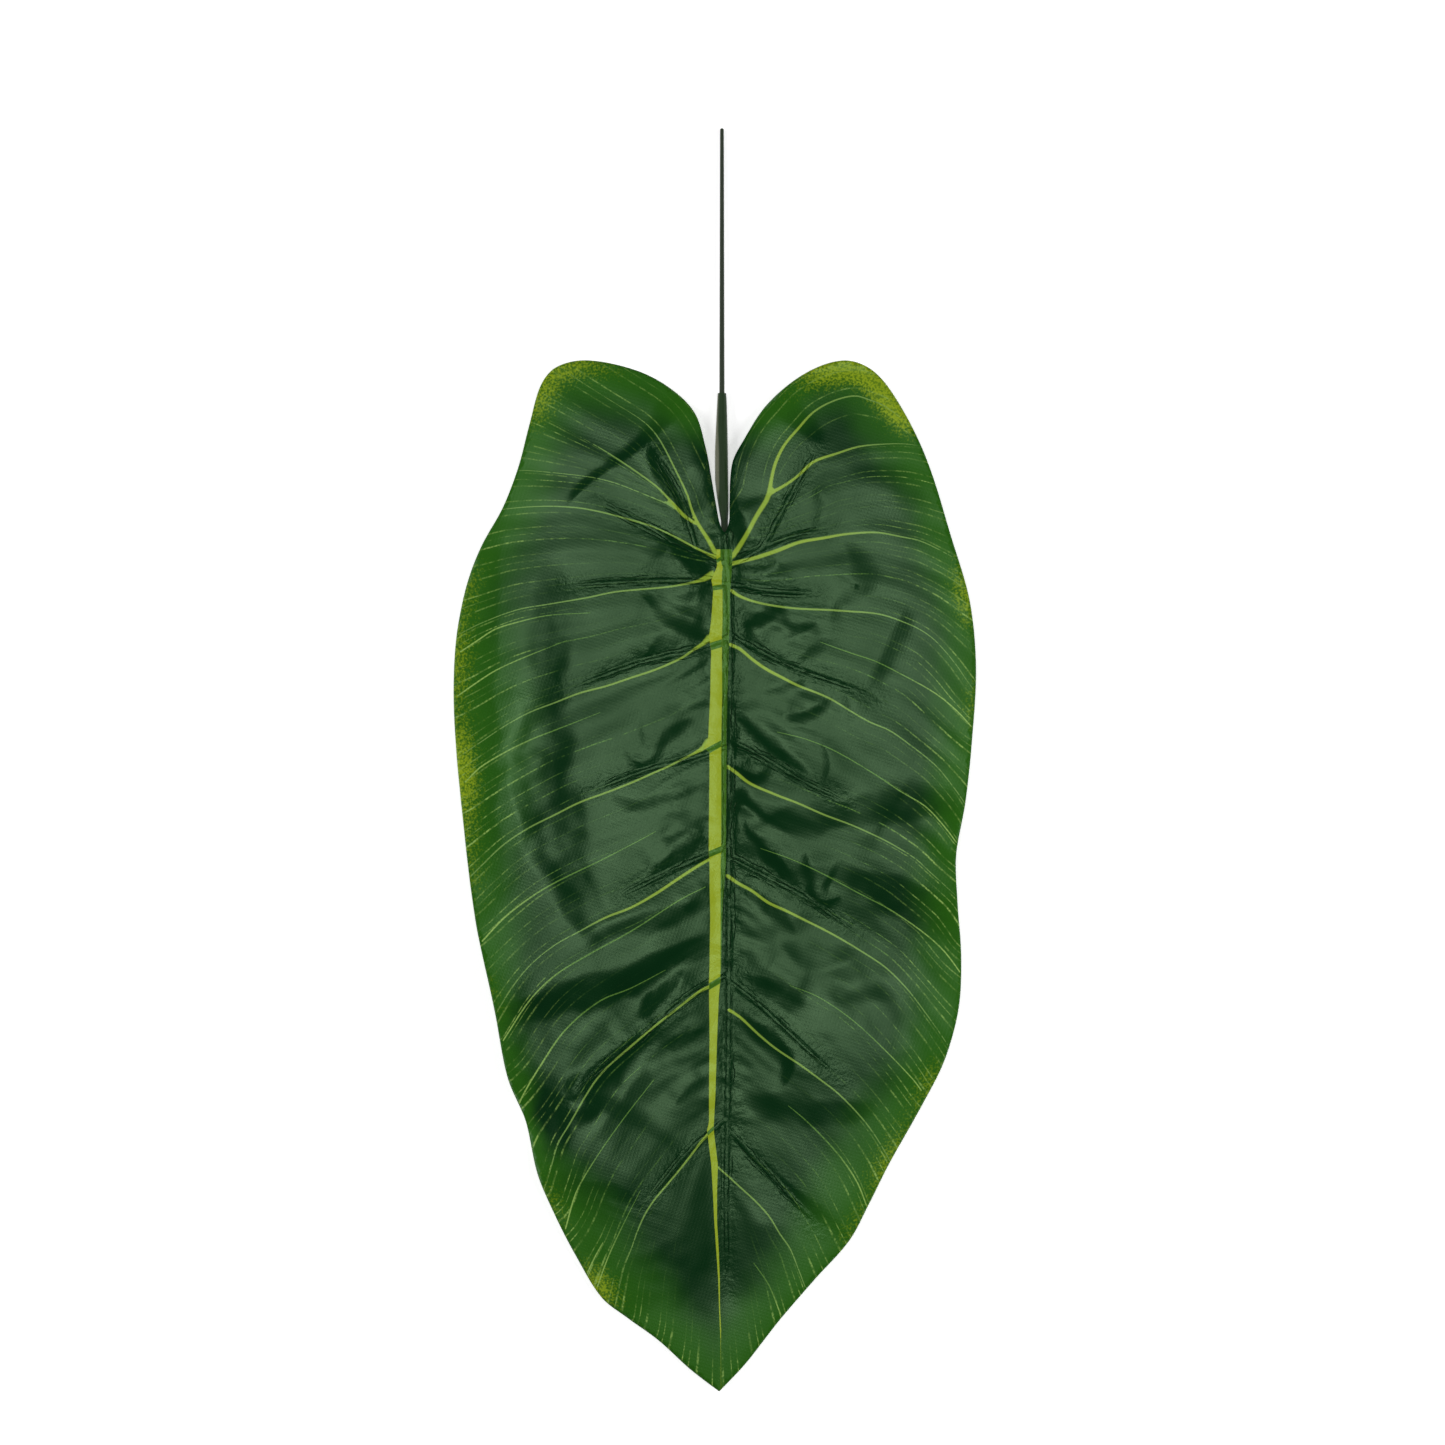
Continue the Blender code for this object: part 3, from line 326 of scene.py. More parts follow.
# Stronger ones of the fine lines between the veins: x, y, half width
THIN_LINES = [
    [(38, 42.5, 0.09), (49, 38.5, 0.18), (58, 35.5, 0.18), (67, 31, 0.18), (79.5, 24, 0.18),
     (87.5, 17.5, 0.18), (93, 11.5, 0.16)],
    [(22.5, 10, 0.09), (32.5, 7.5, 0.16), (43.5, 3, 0.18), (58, -5.5, 0.18), (67, -11.5, 0.2),
     (76, -17, 0.2), (83, -24.5, 0.18), (87.5, -30.5, 0.16)],
    [(16.5, -32, 0.09), (29, -36.5, 0.16), (39.5, -41.5, 0.18), (52.5, -48.5, 0.2), (63, -54, 0.2),
     (76, -63, 0.2), (83, -69.5, 0.2), (89, -77.5, 0.18)],
    [(27, -81.5, 0.09), (37, -85.5, 0.14), (49, -93.5, 0.16), (60.5, -104, 0.16), (71.5, -115.5, 0.18),
     (74.5, -119.5, 0.18)],
    [(26.5, -125, 0.09), (32.5, -130, 0.2), (40, -137.5, 0.23), (46, -144.5, 0.23), (51.5, -153, 0.22),
     (55, -162, 0.18)],
    [(14, -182, 0.11), (19.5, -190, 0.18), (24, -201.5, 0.2)],
    [(-3.5, -46, 0.13), (-12.5, -50.5, 0.18), (-30.5, -62, 0.22), (-46, -70.5, 0.23), (-58, -78, 0.23),
     (-67, -87, 0.22), (-76.5, -101.5, 0.2)],
    [(-18, -76, 0.09), (-30.5, -82.5, 0.18), (-41.5, -87, 0.22), (-54, -97.5, 0.25), (-63, -110.5, 0.25),
     (-70, -122.5, 0.23), (-73.5, -131.5, 0.18)],
    [(-21.5, -26, 0.09), (-27, -29, 0.14), (-41.5, -36.5, 0.2), (-58, -44.5, 0.23), (-67, -50, 0.25),
     (-76, -57, 0.25), (-84, -65.5, 0.25)],
    [(-41.5, 17, 0.07), (-58, 10.5, 0.18), (-67, 7, 0.2), (-76, 2.5, 0.22), (-85, -3, 0.23),
     (-90, -8, 0.22)],
    [(-45, 53, 0.09), (-60.5, 52, 0.16), (-71.5, 49.5, 0.2), (-79.5, 47, 0.22), (-85, 43.5, 0.22),
     (-92, 39, 0.18)],
    [(-53.5, 43, 0.09), (-68.5, 37, 0.18), (-78.5, 32.5, 0.2), (-85, 28.5, 0.22), (-93, 23, 0.2)],
    [(-22, -115.5, 0.11), (-34.5, -131.5, 0.16), (-43.5, -144.5, 0.18), (-50, -156, 0.23),
     (-54, -169.5, 0.23)],
    [(-40.5, -174.5, 0.13), (-43.5, -180, 0.23), (-46.5, -186.5, 0.22)],
    [(-27, -155.5, 0.09), (-33, -167.5, 0.16), (-38.5, -179.5, 0.2), (-42.5, -190.5, 0.2)],
]

# Printed midrib: y, left and right edge of its light strip, right edge of the green beside it
MIDRIB_PRINT = [
    (72, 0.5, 2, 6.2), (69.5, 0.8, 2.8, 6.1), (67.5, -0.4, 2.5, 6), (64.8, -1.4, 2.4, 5.8),
    (62.6, -0.9, 2.4, 5.6), (61, -0.7, 2.7, 5.4), (50.4, -1.4, 2.7, 5.3), (44.2, -2.2, 2.5, 5.1),
    (39.5, -1.4, 2.5, 5), (21.5, -1.8, 2.5, 4.5), (7, -2.5, 2.2, 4.3), (4.2, -4.2, 2.2, 4.3),
    (2.7, -2, 2.2, 4.3), (-2, -2, 2.2, 4.3), (-32.7, -2.3, 2.2, 4), (-38, -2, 2, 4), (-47, -2, 2, 3.2),
    (-56, -1.8, 2, 2.6), (-74, -2, 2, 2.3), (-80, -2.2, 1.9, 2), (-85, -2.2, 1.4, 1.4),
    (-101, -2, 0.7, 0.7), (-119, -2.2, 0.2, 0.2), (-131, -2.2, -0.4, -0.4), (-134, -2.9, -0.5, -0.5),
    (-146.5, -1.4, 1, 1), (-157, -0.8, 0.7, 0.7), (-167.5, -0.3, 0.7, 0.7), (-177.5, 0.4, 1.3, 1.3),
    (-188, 1.1, 1.7, 1.7), (-198, 1.4, 1.8, 1.8), (-206.5, 1.8, 2.2, 2.2), (-211, 2, 2.1, 2.1),
    (-232, 2.2, 2.2, 2.2),
]
# Green bands across the light strip: y at its middle, slope and half width
MIDRIB_NODES = [
    (71.3, 0.6, 0.7), (62.1, 0.15, 0.9), (41.3, 0.3, 1.4), (4.6, 0.55, 1.2), (-33.3, 0.4, 1.1),
    (-80.8, 0.6, 1.2), (-132.8, 0.9, 0.7),
]

# Where the print is yellower along the margin: x, y, reach, strength
YELLOW_PATCHES = [
    (50, 142, 20, 1.3), (67, 127, 10, 0.9), (-93, 35, 17, 0.6), (-91, -4, 20, 0.9), (-88, 62, 14, 0.4),
    (92, 60, 14, 0.7), (94, 20, 16, 0.4), (64, -146, 16, 0.6), (50, -170, 12, 0.4), (-40, -189, 11, 0.8),
    (-58, -160, 14, 0.4), (-50, 143, 18, 0.6), (-80, -85, 14, 0.3), (78, -117, 14, 0.5),
    (-64, 130, 14, 0.5), (-88, -40, 18, 0.4),
]
YELLOW_DEPTH = 9.0

# Where the margin's green reaches further in: x, y, reach, how much further
GREEN_PATCHES = [
    (-90, 12, 48, 1.5), (-46, -184, 30, 1.4), (56, -160, 36, 1), (86, -95, 30, 0.5), (62, 130, 20, 1),
    (-45, 138, 20, 0.8), (0, -225, 20, 0.4), (-65, -129, 17, -0.65), (-77, -92, 14, -0.5),
]
LINE_SPACING = 4.2
# The printed midrib runs this far to the left of the embossed one
PRINT_OFFSET = 3.0


def smooth_curve(points, step):
    """A smooth curve through the points, with each stretch cut into pieces of about one step."""
    points = np.array(points, dtype=float)
    lengths = np.linalg.norm(np.diff(points, axis=0), axis=1)
    inner = (points[2:] - points[:-2]) / (lengths[1:] + lengths[:-1])[:, None]
    first, last = (points[1] - points[0]) / lengths[0], (points[-1] - points[-2]) / lengths[-1]
    slopes = np.vstack([first, inner, last])
    curve = []
    for start, end, leave, arrive, length in zip(points, points[1:], slopes, slopes[1:], lengths):
        pieces = max(1, round(length / step))
        for t in np.arange(pieces) / pieces:
            curve.append((2 * t**3 - 3 * t**2 + 1) * start + (3 * t**2 - 2 * t**3) * end
                         + ((t**3 - 2 * t**2 + t) * leave + (t**3 - t**2) * arrive) * length)
    return np.array(curve + [points[-1]])


def run_along(curve):
    """Distance along a curve to each of its points."""
    return np.concatenate([[0.0], np.cumsum(np.linalg.norm(np.diff(curve, axis=0), axis=1))])


def even_stations(curve, step):
    """Places along a curve at even steps."""
    run = run_along(curve)
    wanted = np.linspace(0.0, run[-1], max(2, round(run[-1] / step) + 1))
    return np.column_stack([np.interp(wanted, run, axis) for axis in curve.T])


def at_share(along, line, values):
    """Values known at a line's points, read at shares of its length."""
    run = run_along(line[:, :2])
    return np.interp(along, run / run[-1], values)


def measure(points, line):
    """Distance from each point to a line, on which side it lies (+1 on the left) and how far along it."""
    nearest = np.full(len(points), np.inf)
    side = np.ones(len(points))
    along_line = np.zeros(len(points))
    run = 0.0
    for start, end in zip(line, line[1:]):
        step = end - start
        length = math.hypot(*step)
        offset = points - start
        part = np.clip(offset @ step / length**2, 0.0, 1.0)
        away = np.linalg.norm(offset - part[:, None] * step, axis=1)
        nearer = away < nearest
        nearest[nearer] = away[nearer]
        side[nearer] = np.sign(step[0] * offset[nearer, 1] - step[1] * offset[nearer, 0])
        along_line[nearer] = run + part[nearer] * length
        run += length
    return nearest, side, along_line / run


MARGIN_LINE = smooth_curve(OUTLINE, MARGIN_STEP)
IN_SINUS = np.flatnonzero(np.all(abs(MARGIN_LINE - SINUS_MIDDLE) < SINUS_HALF, axis=1))
OUTER_MARGINS = [MARGIN_LINE[:IN_SINUS[0]], MARGIN_LINE[IN_SINUS[-1] + 1:]]
MIDRIB_LINE = smooth_curve(MIDRIB, 4.0)
SIDE_LINES = [smooth_curve(points, 2.0) for points in SIDE_RIBS]
FOLD_LINES = [smooth_curve(points, 3.0) for *_, points in FOLDS]
VEIN_SIDES = [[smooth_curve(points, 2.0) for points in side] for side in (LEFT_VEINS, RIGHT_VEINS)]
TIP_LINE = smooth_curve([(0.2, -146.0), (0.5, -170.0), (1.5, -200.0), (2.0, -232.0)], 3.0)
THIN_VEINS = [smooth_curve(points, 3.0) for points in THIN_LINES]


def spine_height(y):
    """Height of the fabric's middle beside the midrib, falling to the table at the leaf's tip."""
    stations = [LEAF_TIP_Y, MIDRIB_END_Y, MIDRIB_TAPER_START_Y]
    return np.interp(y, stations, [MARGIN_LEVEL, SPINE_END_HEIGHT, SPINE_HEIGHT])


def straight_fade(value, end, length, least):
    """A share that grows from the least one up to 1 over a length that starts at an end."""
    return min(1.0, max(least, (value - end) / length))


def smooth_step(value):
    """A smooth step from 0 to 1 as the value goes from 0 to 1."""
    value = np.clip(value, 0.0, 1.0)
    return value * value * (3 - 2 * value)


def pattern(kind, x, y):
    """Smooth noise at a place, of one of the patterns named above."""
    x_step, y_step, level = kind
    return noise.noise((x / x_step, y / y_step, level))


def fold_fields(points, to_midrib):
    """Height of the folds and the further lean of their steep faces.

    Each fold rises across its steep face, sinks back behind it and fades at its ends, a little unevenly. Part
    of its slope is in the surface, and the rest leans the normal that the film is shaded with.
    """
    height = np.zeros(len(points))
    lean = np.zeros((len(points), 2))
    wobble = np.array([pattern(WOBBLE, x, y) + 0.5 * pattern(FINE_WOBBLE, x, y) for x, y in points])
    for (steep, reach, _), line in zip(FOLDS, FOLD_LINES):
        spread = FOLD_EXTENT * reach + line[:, 2].max()
        low, high = line[:, :2].min(axis=0) - spread, line[:, :2].max(axis=0) + spread
        near = np.all((points > low) & (points < high), axis=1)
        away, side, along = measure(points[near], line[:, :2])
        width = at_share(along, line, line[:, 2]) * FOLD_SPREAD
        up_face = away * side / width + 0.5 + FOLD_WOBBLE * wobble[near]
        behind = np.maximum(away * side - width / 2, 0.0) / reach
        to_end = np.minimum(along, 1 - along)
        fade = smooth_step(to_end / FOLD_END_SHARE)
        if reach > SHORT_REACH:
            fade *= 1 - np.exp(-((to_midrib[near] / (FOLD_CLEARANCE * reach)) ** 2))
        rise = FOLD_SHARE * steep * width / STEEPEST_STEP
        height[near] += rise * smooth_step(up_face) * np.exp(-(behind**2)) * fade
        ahead = np.gradient(line[:, :2], axis=0)
        leftward = np.column_stack([at_share(along, line, -ahead[:, 1]), at_share(along, line, ahead[:, 0])])
        leftward /= np.linalg.norm(leftward, axis=1)[:, None]
        narrow = min(1.0, line[:, 2].max() / NARROW_FOLD) ** 2
        foot = FOLD_FOOT * narrow
        part = np.clip((up_face + foot) / (1 + foot), 0.0, 1.0)
        slope = (1 - FOLD_SHARE) * steep * LEAN_GAIN * part**1.5 * (1 - part**7) * (1 + wobble[near])
        lean[near] += leftward * (slope * smooth_step(to_end / (FOLD_LEAN_END_SHARE * narrow)))[:, None]
    return height, lean


def ripple_height(points, across, to_midrib, index):
    """Soft ripples that run with the veins, sharper crumples towards the midrib, and puckers beside it."""
    height = np.zeros(len(points))
    for i, ((x, y), share, beside_midrib, line) in enumerate(zip(points, across, to_midrib, index)):
        fade = min(1.0, beside_midrib / RIPPLE_REACH) * straight_fade(y, *CALM_RIPPLES)
        height[i] = RIPPLE_HEIGHT * fade * pattern(RIPPLE_PATTERN, share, line)
        crest = 1 - abs(pattern(CRUMPLE_PATTERN, share, line))
        fade = math.exp(-((beside_midrib / CRUMPLE_REACH) ** 2)) * straight_fade(y, *CALM_CRUMPLES)
        patch = min(1.0, max(0.1, 0.55 + 1.2 * pattern(CRUMPLE_PATCHES, x, y)))
        height[i] += CRUMPLE_HEIGHT * patch * crest**3 * fade
        if beside_midrib < 2 * PUCKER_REACH:
            fade = math.exp(-((beside_midrib / PUCKER_REACH) ** 2)) * straight_fade(y, *CALM_PUCKERS)
            height[i] += PUCKER_HEIGHT * fade * pattern(PUCKER_PATTERN, x, y)
    return height


def rib_distances(points):
    """For each rib, its distance from the points, its half width, its fade and its share of the height."""
    for number, line in enumerate([MIDRIB_LINE, *SIDE_LINES]):
        away, _, along = measure(points, line)
        if number == 0:
            yield away, BAND_HALF_WIDTH * (1 - 0.4 * along), smooth_step((1 - along) / MIDRIB_END_SHARE), 1.0
        else:
            half = BAND_HALF_WIDTH * (SIDE_RIB_WIDTH - 0.3 * along**2)
            yield away, half, smooth_step((1 - along) / SIDE_RIB_END_SHARE), SIDE_BAND_SHARE


def patches(points, places):
    """Sum of round, soft patches of some strength: x, y, reach, strength."""
    total = np.zeros(len(points))
    for x, y, reach, strength in places:
        total += strength * np.exp(-((points[:, 0] - x) ** 2 + (points[:, 1] - y) ** 2) / reach**2)
    return total


def blade_fields(points, index):
    """Height of the fabric's middle, and what its print and its shading need at each point."""
    to_midrib = measure(points, MIDRIB_LINE)[0]
    to_margin = measure(points, MARGIN_LINE)[0]
    width = to_midrib + to_margin
    across = to_midrib / (width + 0.02)
    level = spine_height(points[:, 1])
    fullness = 1 - np.exp(-width / ARCH_WIDTH)
    inner = level + ARCH_HEIGHT * fullness * (1 - (1 - across) ** 2)
    drop = MARGIN_FALL + patches(points, DROOPS)
    drop *= smooth_step((points[:, 1] - LEAF_TIP_Y) / TIP_REACH)
    up_lobe = np.clip((points[:, 1] - LOBE_START_Y) / (LOBE_TOP_Y - LOBE_START_Y), 0.0, 1.0)
    height = inner - drop * fullness**2 * across**DROOP_POWER - LOBE_FALL * up_lobe**2
    flat_part = np.ones(len(points))
    band, crease, rib_fade = np.zeros((3, len(points)))
    rib_ratio = np.full(len(points), FAR_RATIO)
    for away, half, fade, tall in rib_distances(points):
        nearer = away / half < rib_ratio
        rib_ratio[nearer] = (away / half)[nearer]
        rib_fade[nearer] = fade[nearer]
        flat_part *= 1 - np.exp(-((away / QUILT_REACH) ** 2))
        band = np.maximum(band, fade * tall / (1 + (away / (half * 0.8)) ** 8))
        crease = np.maximum(crease, fade * np.exp(-(((away - half) / CREASE_WIDTH) ** 2)))
    crease *= 1 - band
    height += QUILT_HEIGHT * flat_part * (1 - across**6)
    folded, lean = fold_fields(points, to_midrib)
    height += folded + ripple_height(points, across, to_midrib, index)
    height += BAND_HEIGHT * band - CREASE_DEPTH * crease
    settled = MARGIN_LEVEL + TABLE_SOFTNESS * np.logaddexp(0.0, (height - MARGIN_LEVEL) / TABLE_SOFTNESS)
    to_edge = np.min([measure(points, run)[0] for run in OUTER_MARGINS], axis=0)
    green_reach = 1 + patches(points, GREEN_PATCHES)
    return settled, dict(across=across, to_margin=to_edge, green_reach=green_reach, by_rib=1 - flat_part,
                         rib_ratio=rib_ratio, rib_fade=rib_fade, lean_x=lean[:, 0], lean_y=lean[:, 1])


def clear_of(candidates, kept, gap):
    """The candidates that keep a gap to every point kept so far, found with a grid of cells."""
    cells = {}
    for x, y in kept:
        cells.setdefault((int(x // gap), int(y // gap)), []).append((x, y))
    chosen = []
    for x, y in candidates:
        column, row = int(x // gap), int(y // gap)
        near = (p for i in (-1, 0, 1) for j in (-1, 0, 1) for p in cells.get((column + i, row + j), ()))
        if all((x - px) ** 2 + (y - py) ** 2 > gap**2 for px, py in near):
            chosen.append((x, y))
    return np.array(chosen).reshape(-1, 2)


def inside_margin(points):
    """Whether each point lies inside the margin, by counting the crossings to its right."""
    inside = np.zeros(len(points), dtype=bool)
    for (x0, y0), (x1, y1) in zip(MARGIN_LINE, MARGIN_LINE[1:]):
        between = (points[:, 1] < y0) != (points[:, 1] < y1)
        if y0 != y1:
            crossing = x0 + (points[:, 1] - y0) * (x1 - x0) / (y1 - y0)
            inside ^= between & (points[:, 0] < crossing)
    return inside


def beside(middle, offset):
    """Points at one distance on each side of a row of points."""
    ahead = np.gradient(middle, axis=0)
    ahead /= np.linalg.norm(ahead, axis=1)[:, None]
    aside = np.column_stack([-ahead[:, 1], ahead[:, 0]]) * offset
    return np.vstack([middle + aside, middle - aside])


def blade_plan():
    """Plan of the blade: margin, printed veins, rows along each rib and narrow fold, and a grid between."""
    points = MARGIN_LINE[:-1]
    edges = []
    for line in [*VEIN_SIDES[0], *VEIN_SIDES[1], *THIN_VEINS]:
        row = even_stations(line[:, :2], VEIN_STEP)
        row = row[inside_margin(row)]
        row = clear_of(row, points, VEIN_STEP * GAP_SHARE)
        edges += [(i, i + 1) for i in range(len(points), len(points) + len(row) - 1)
                  if math.dist(row[i - len(points)], row[i - len(points) + 1]) < VEIN_STEP * 2]
        points = np.vstack([points, row])
    for number, line in enumerate([MIDRIB_LINE, *SIDE_LINES]):
        middle = even_stations(line, RIB_STEP)
        half = BAND_HALF_WIDTH if number == 0 else BAND_HALF_WIDTH * SIDE_RIB_WIDTH
        rows = [middle] + [beside(middle, half * share) for share in RIB_ROWS]
        for row in rows:
            points = np.vstack([points, clear_of(row, points, RIB_GAP)])
    for line in FOLD_LINES:
        if line[:, 2].max() < NARROW_FOLD:
            middle = even_stations(line, FOLD_STEP)
            for share in FOLD_ROWS:
                row = beside(middle[:, :2], middle[:, 2:] * share)
                points = np.vstack([points, clear_of(row[inside_margin(row)], points, FOLD_GAP)])
    low, high = MARGIN_LINE.min(axis=0), MARGIN_LINE.max(axis=0)
    row_step = GRID_STEP * math.sqrt(3) / 2
    grid = np.array([(x + (row % 2) * GRID_STEP / 2, low[1] + row * row_step)
                     for row in range(math.ceil((high[1] - low[1]) / row_step))
                     for x in np.arange(low[0], high[0], GRID_STEP)])
    grid = grid[inside_margin(grid)]
    return np.vstack([points, clear_of(grid, points, GRID_STEP * GAP_SHARE)]), edges


def line_index(points, lines):
    """Number of fine printed lines from the top vein down to each point, and the distance between them."""
    distances, sides = [], []
    for line in lines:
        away, side, _ = measure(points, line)
        distances.append(away)
        sides.append(side)
    distances = np.array(distances)
    # Veins on the left run towards -X, so a point nearer the tip has each of them on its left
    turn = 1 if lines[4][-1][0] < 0 else -1
    passed = (np.array(sides) * turn > 0).sum(axis=0)
    between = [max(2, round(math.dist(a[-1], b[-1]) / LINE_SPACING)) for a, b in zip(lines, lines[1:])]
    counted = np.concatenate([[0], np.cumsum(between)])
    last = len(lines) - 1
    every = np.arange(len(points))
    above = np.clip(passed - 1, 0, last)
    upper, lower = distances[above, every], distances[np.clip(passed, 0, last), every]
    lines_here = np.array(between + [1])[above]
    index = counted[above] + lines_here * upper / (upper + lower + 1e-6)
    index = np.where(passed == 0, -lower / LINE_SPACING, index)
    index = np.where(passed > last, counted[-1] + upper / LINE_SPACING, index)
    outside = (passed == 0) | (passed > last)
    return index, np.where(outside, LINE_SPACING, (upper + lower) / lines_here)


def both_sides(points):
    """Fine lines on the left and on the right of the midrib."""
    left, right = (line_index(points, [line[:, :2] for line in [*lines, TIP_LINE]]) for lines in VEIN_SIDES)
    middle = MIDRIB_LINE[::-1, 0] - PRINT_OFFSET
    on_left = points[:, 0] < np.interp(points[:, 1], MIDRIB_LINE[::-1, 1], middle)
    return [np.where(on_left, a, b) for a, b in zip(left, right)]


def vein_field(points, lines):
    """Distance to the nearest of some printed lines as a share of its half width, and that half width."""
    ratio = np.full(len(points), FAR_RATIO)
    nearest_half = np.zeros(len(points))
    for line in lines:
        away, _, along = measure(points, line[:, :2])
        half = np.maximum(at_share(along, line, line[:, 2]), 0.001)
        nearer = away / half < ratio
        ratio[nearer] = (away / half)[nearer]
        nearest_half[nearer] = half[nearer]
    return ratio, nearest_half


def midrib_fields(points):
    """Place across the printed midrib's light strip and across the green beside it."""
    stations = np.array(MIDRIB_PRINT[::-1])
    left, right, green = (np.interp(points[:, 1], stations[:, 0], stations[:, i]) for i in (1, 2, 3))
    strip = (points[:, 0] - (left + right) / 2) / np.maximum((right - left) / 2, 0.03)
    beyond = (points[:, 0] - right) - (green - right)
    node = np.full(len(points), FAR_RATIO)
    for y, slope, half in MIDRIB_NODES:
        node = np.minimum(node, np.abs(points[:, 1] - y - slope * points[:, 0]) / half)
    return strip, beyond, node


def printed_blade():
    """The fabric blade with the numbers that its print is drawn from."""
    plan, edges = blade_plan()
    rim = list(range(len(MARGIN_LINE) - 1))
    flat, _, faces, *_ = delaunay_2d_cdt([tuple(p) for p in plan], edges, [rim], 1, 1e-6)
    flat = np.array([tuple(p) for p in flat])
    index, gap = both_sides(flat)
    height, fields = blade_fields(flat, index)
    mesh = bpy.data.meshes.new("fabric_blade")
    mesh.from_pydata([(x * MM, y * MM, z * MM) for (x, y), z in zip(flat, height)], [], faces)
    strip, beyond, node = midrib_fields(flat)
    yellow = patches(flat, YELLOW_PATCHES) * np.exp(-((fields["to_margin"] / YELLOW_DEPTH) ** 2))
    vein, vein_half = vein_field(flat, [*VEIN_SIDES[0], *VEIN_SIDES[1]])
    thin_line = vein_field(flat, THIN_VEINS)[0]
    fields.update(vein=vein, vein_half=vein_half, thin_line=thin_line, line_index=index, line_gap=gap,
                  strip=strip, beyond_green=beyond, rib_node=node, yellow=yellow)
    for name, values in fields.items():
        mesh.attributes.new(name, "FLOAT", "POINT").data.foreach_set("value", values.astype(np.float32))
    mesh.shade_smooth()
    blade = bpy.data.objects.new("fabric_blade", mesh)
    bpy.context.scene.collection.objects.link(blade)
    back, edge = plain("fabric back", FABRIC_BACK, 0.7), plain("fabric edge", CUT_EDGE, 0.8)
    for material in (printed_fabric(), back, edge):
        mesh.materials.append(material)
    thicken = blade.modifiers.new("fabric thickness", "SOLIDIFY")
    thicken.thickness = BLADE_THICKNESS * MM
    thicken.offset = 0.0
    thicken.material_offset = 1
    thicken.material_offset_rim = 2
    return blade


class Shader:
    """Short ways to add nodes to one material."""

    def __init__(self, name):
        self.material = bpy.data.materials.new(name)
        self.material.use_nodes = True
        self.tree = self.material.node_tree
        self.surface = self.tree.nodes["Principled BSDF"]

    def put(self, socket, value):
        """Set a socket's value, or link another node's output to it."""
        if isinstance(value, bpy.types.NodeSocket):
            self.tree.links.new(value, socket)
        elif isinstance(value, tuple) and len(value) == 3 and socket.type == "RGBA":
            socket.default_value = (*value, 1.0)
        else:
            socket.default_value = value

    def set(self, **values):
        """Set inputs of the surface by name, with _ for a space."""
        for name, value in values.items():
            self.put(self.surface.inputs[name.replace("_", " ")], value)

    def add(self, kind, inputs=(), output=0, **settings):
        """Add a node, give it its settings and then its inputs by order or name, and return an output."""
        node = self.tree.nodes.new("ShaderNode" + kind)
        for name, value in settings.items():
            setattr(node, name, value)
        for key, value in inputs.items() if isinstance(inputs, dict) else enumerate(inputs):
            self.put(node.inputs[key], value)
        return node.outputs[output]

    def calc(self, operation, *values, clamp=False):
        """One arithmetic step."""
        return self.add("Math", values, operation=operation, use_clamp=clamp)

    def times(self, first, second):
        """The product of two values."""
        return self.calc("MULTIPLY", first, second)

    def ramp(self, value, low, high, to_low=0.0, to_high=1.0):
        """A smooth step of a value between two limits."""
        return self.add("MapRange", (value, low, high, to_low, to_high), interpolation_type="SMOOTHSTEP")

    def mix(self, factor, first, second):
        """A blend of two colours."""
        return self.add("Mix", {0: factor, 6: first, 7: second}, 2, data_type="RGBA")

    def field(self, name):
        """A number stored on the mesh."""
        return self.add("Attribute", (), "Fac", attribute_name=name)

    def place(self, scale=(1.0, 1.0, 1.0), turn=0.0):
        """Object coordinates, turned about Z and then stretched."""
        where = self.add("TexCoord", (), "Object")
        return self.add("Mapping", {"Vector": where, "Rotation": (0.0, 0.0, turn), "Scale": scale})

    def vector(self, x, y, z=0.0):
        """A vector of three numbers."""
        return self.add("CombineXYZ", (x, y, z))

    def part(self, vector, axis):
        """One part of a vector."""
        return self.add("SeparateXYZ", (vector,), axis)

    def vector_calc(self, operation, *values):
        """One step of vector arithmetic."""
        return self.add("VectorMath", values, "Vector", operation=operation)

    def normal(self):
        """The surface's own normal."""
        return self.add("NewGeometry", (), "Normal")

    def noise(self, vector, scale, detail=2.0, roughness=0.5):
        """Smooth noise between 0 and 1."""
        inputs = {"Vector": vector, "Scale": scale, "Detail": detail, "Roughness": roughness}
        return self.add("TexNoise", inputs, "Fac")

    def random(self, value):
        """A different number between 0 and 1 for each whole value."""
        return self.add("TexWhiteNoise", {"W": value}, "Value", noise_dimensions="1D")

    def wave(self, vector, scale, axis="X"):
        """A plain sine wave along one axis."""
        return self.add("TexWave", {"Vector": vector, "Scale": scale}, "Fac", bands_direction=axis)

    def bump(self, height, depth, strength, below=None):
        """A bump from a height between 0 and 1, with a depth in millimetres."""
        inputs = {"Height": height, "Distance": depth * MM, "Strength": strength}
        return self.add("Bump", inputs if below is None else inputs | {"Normal": below})


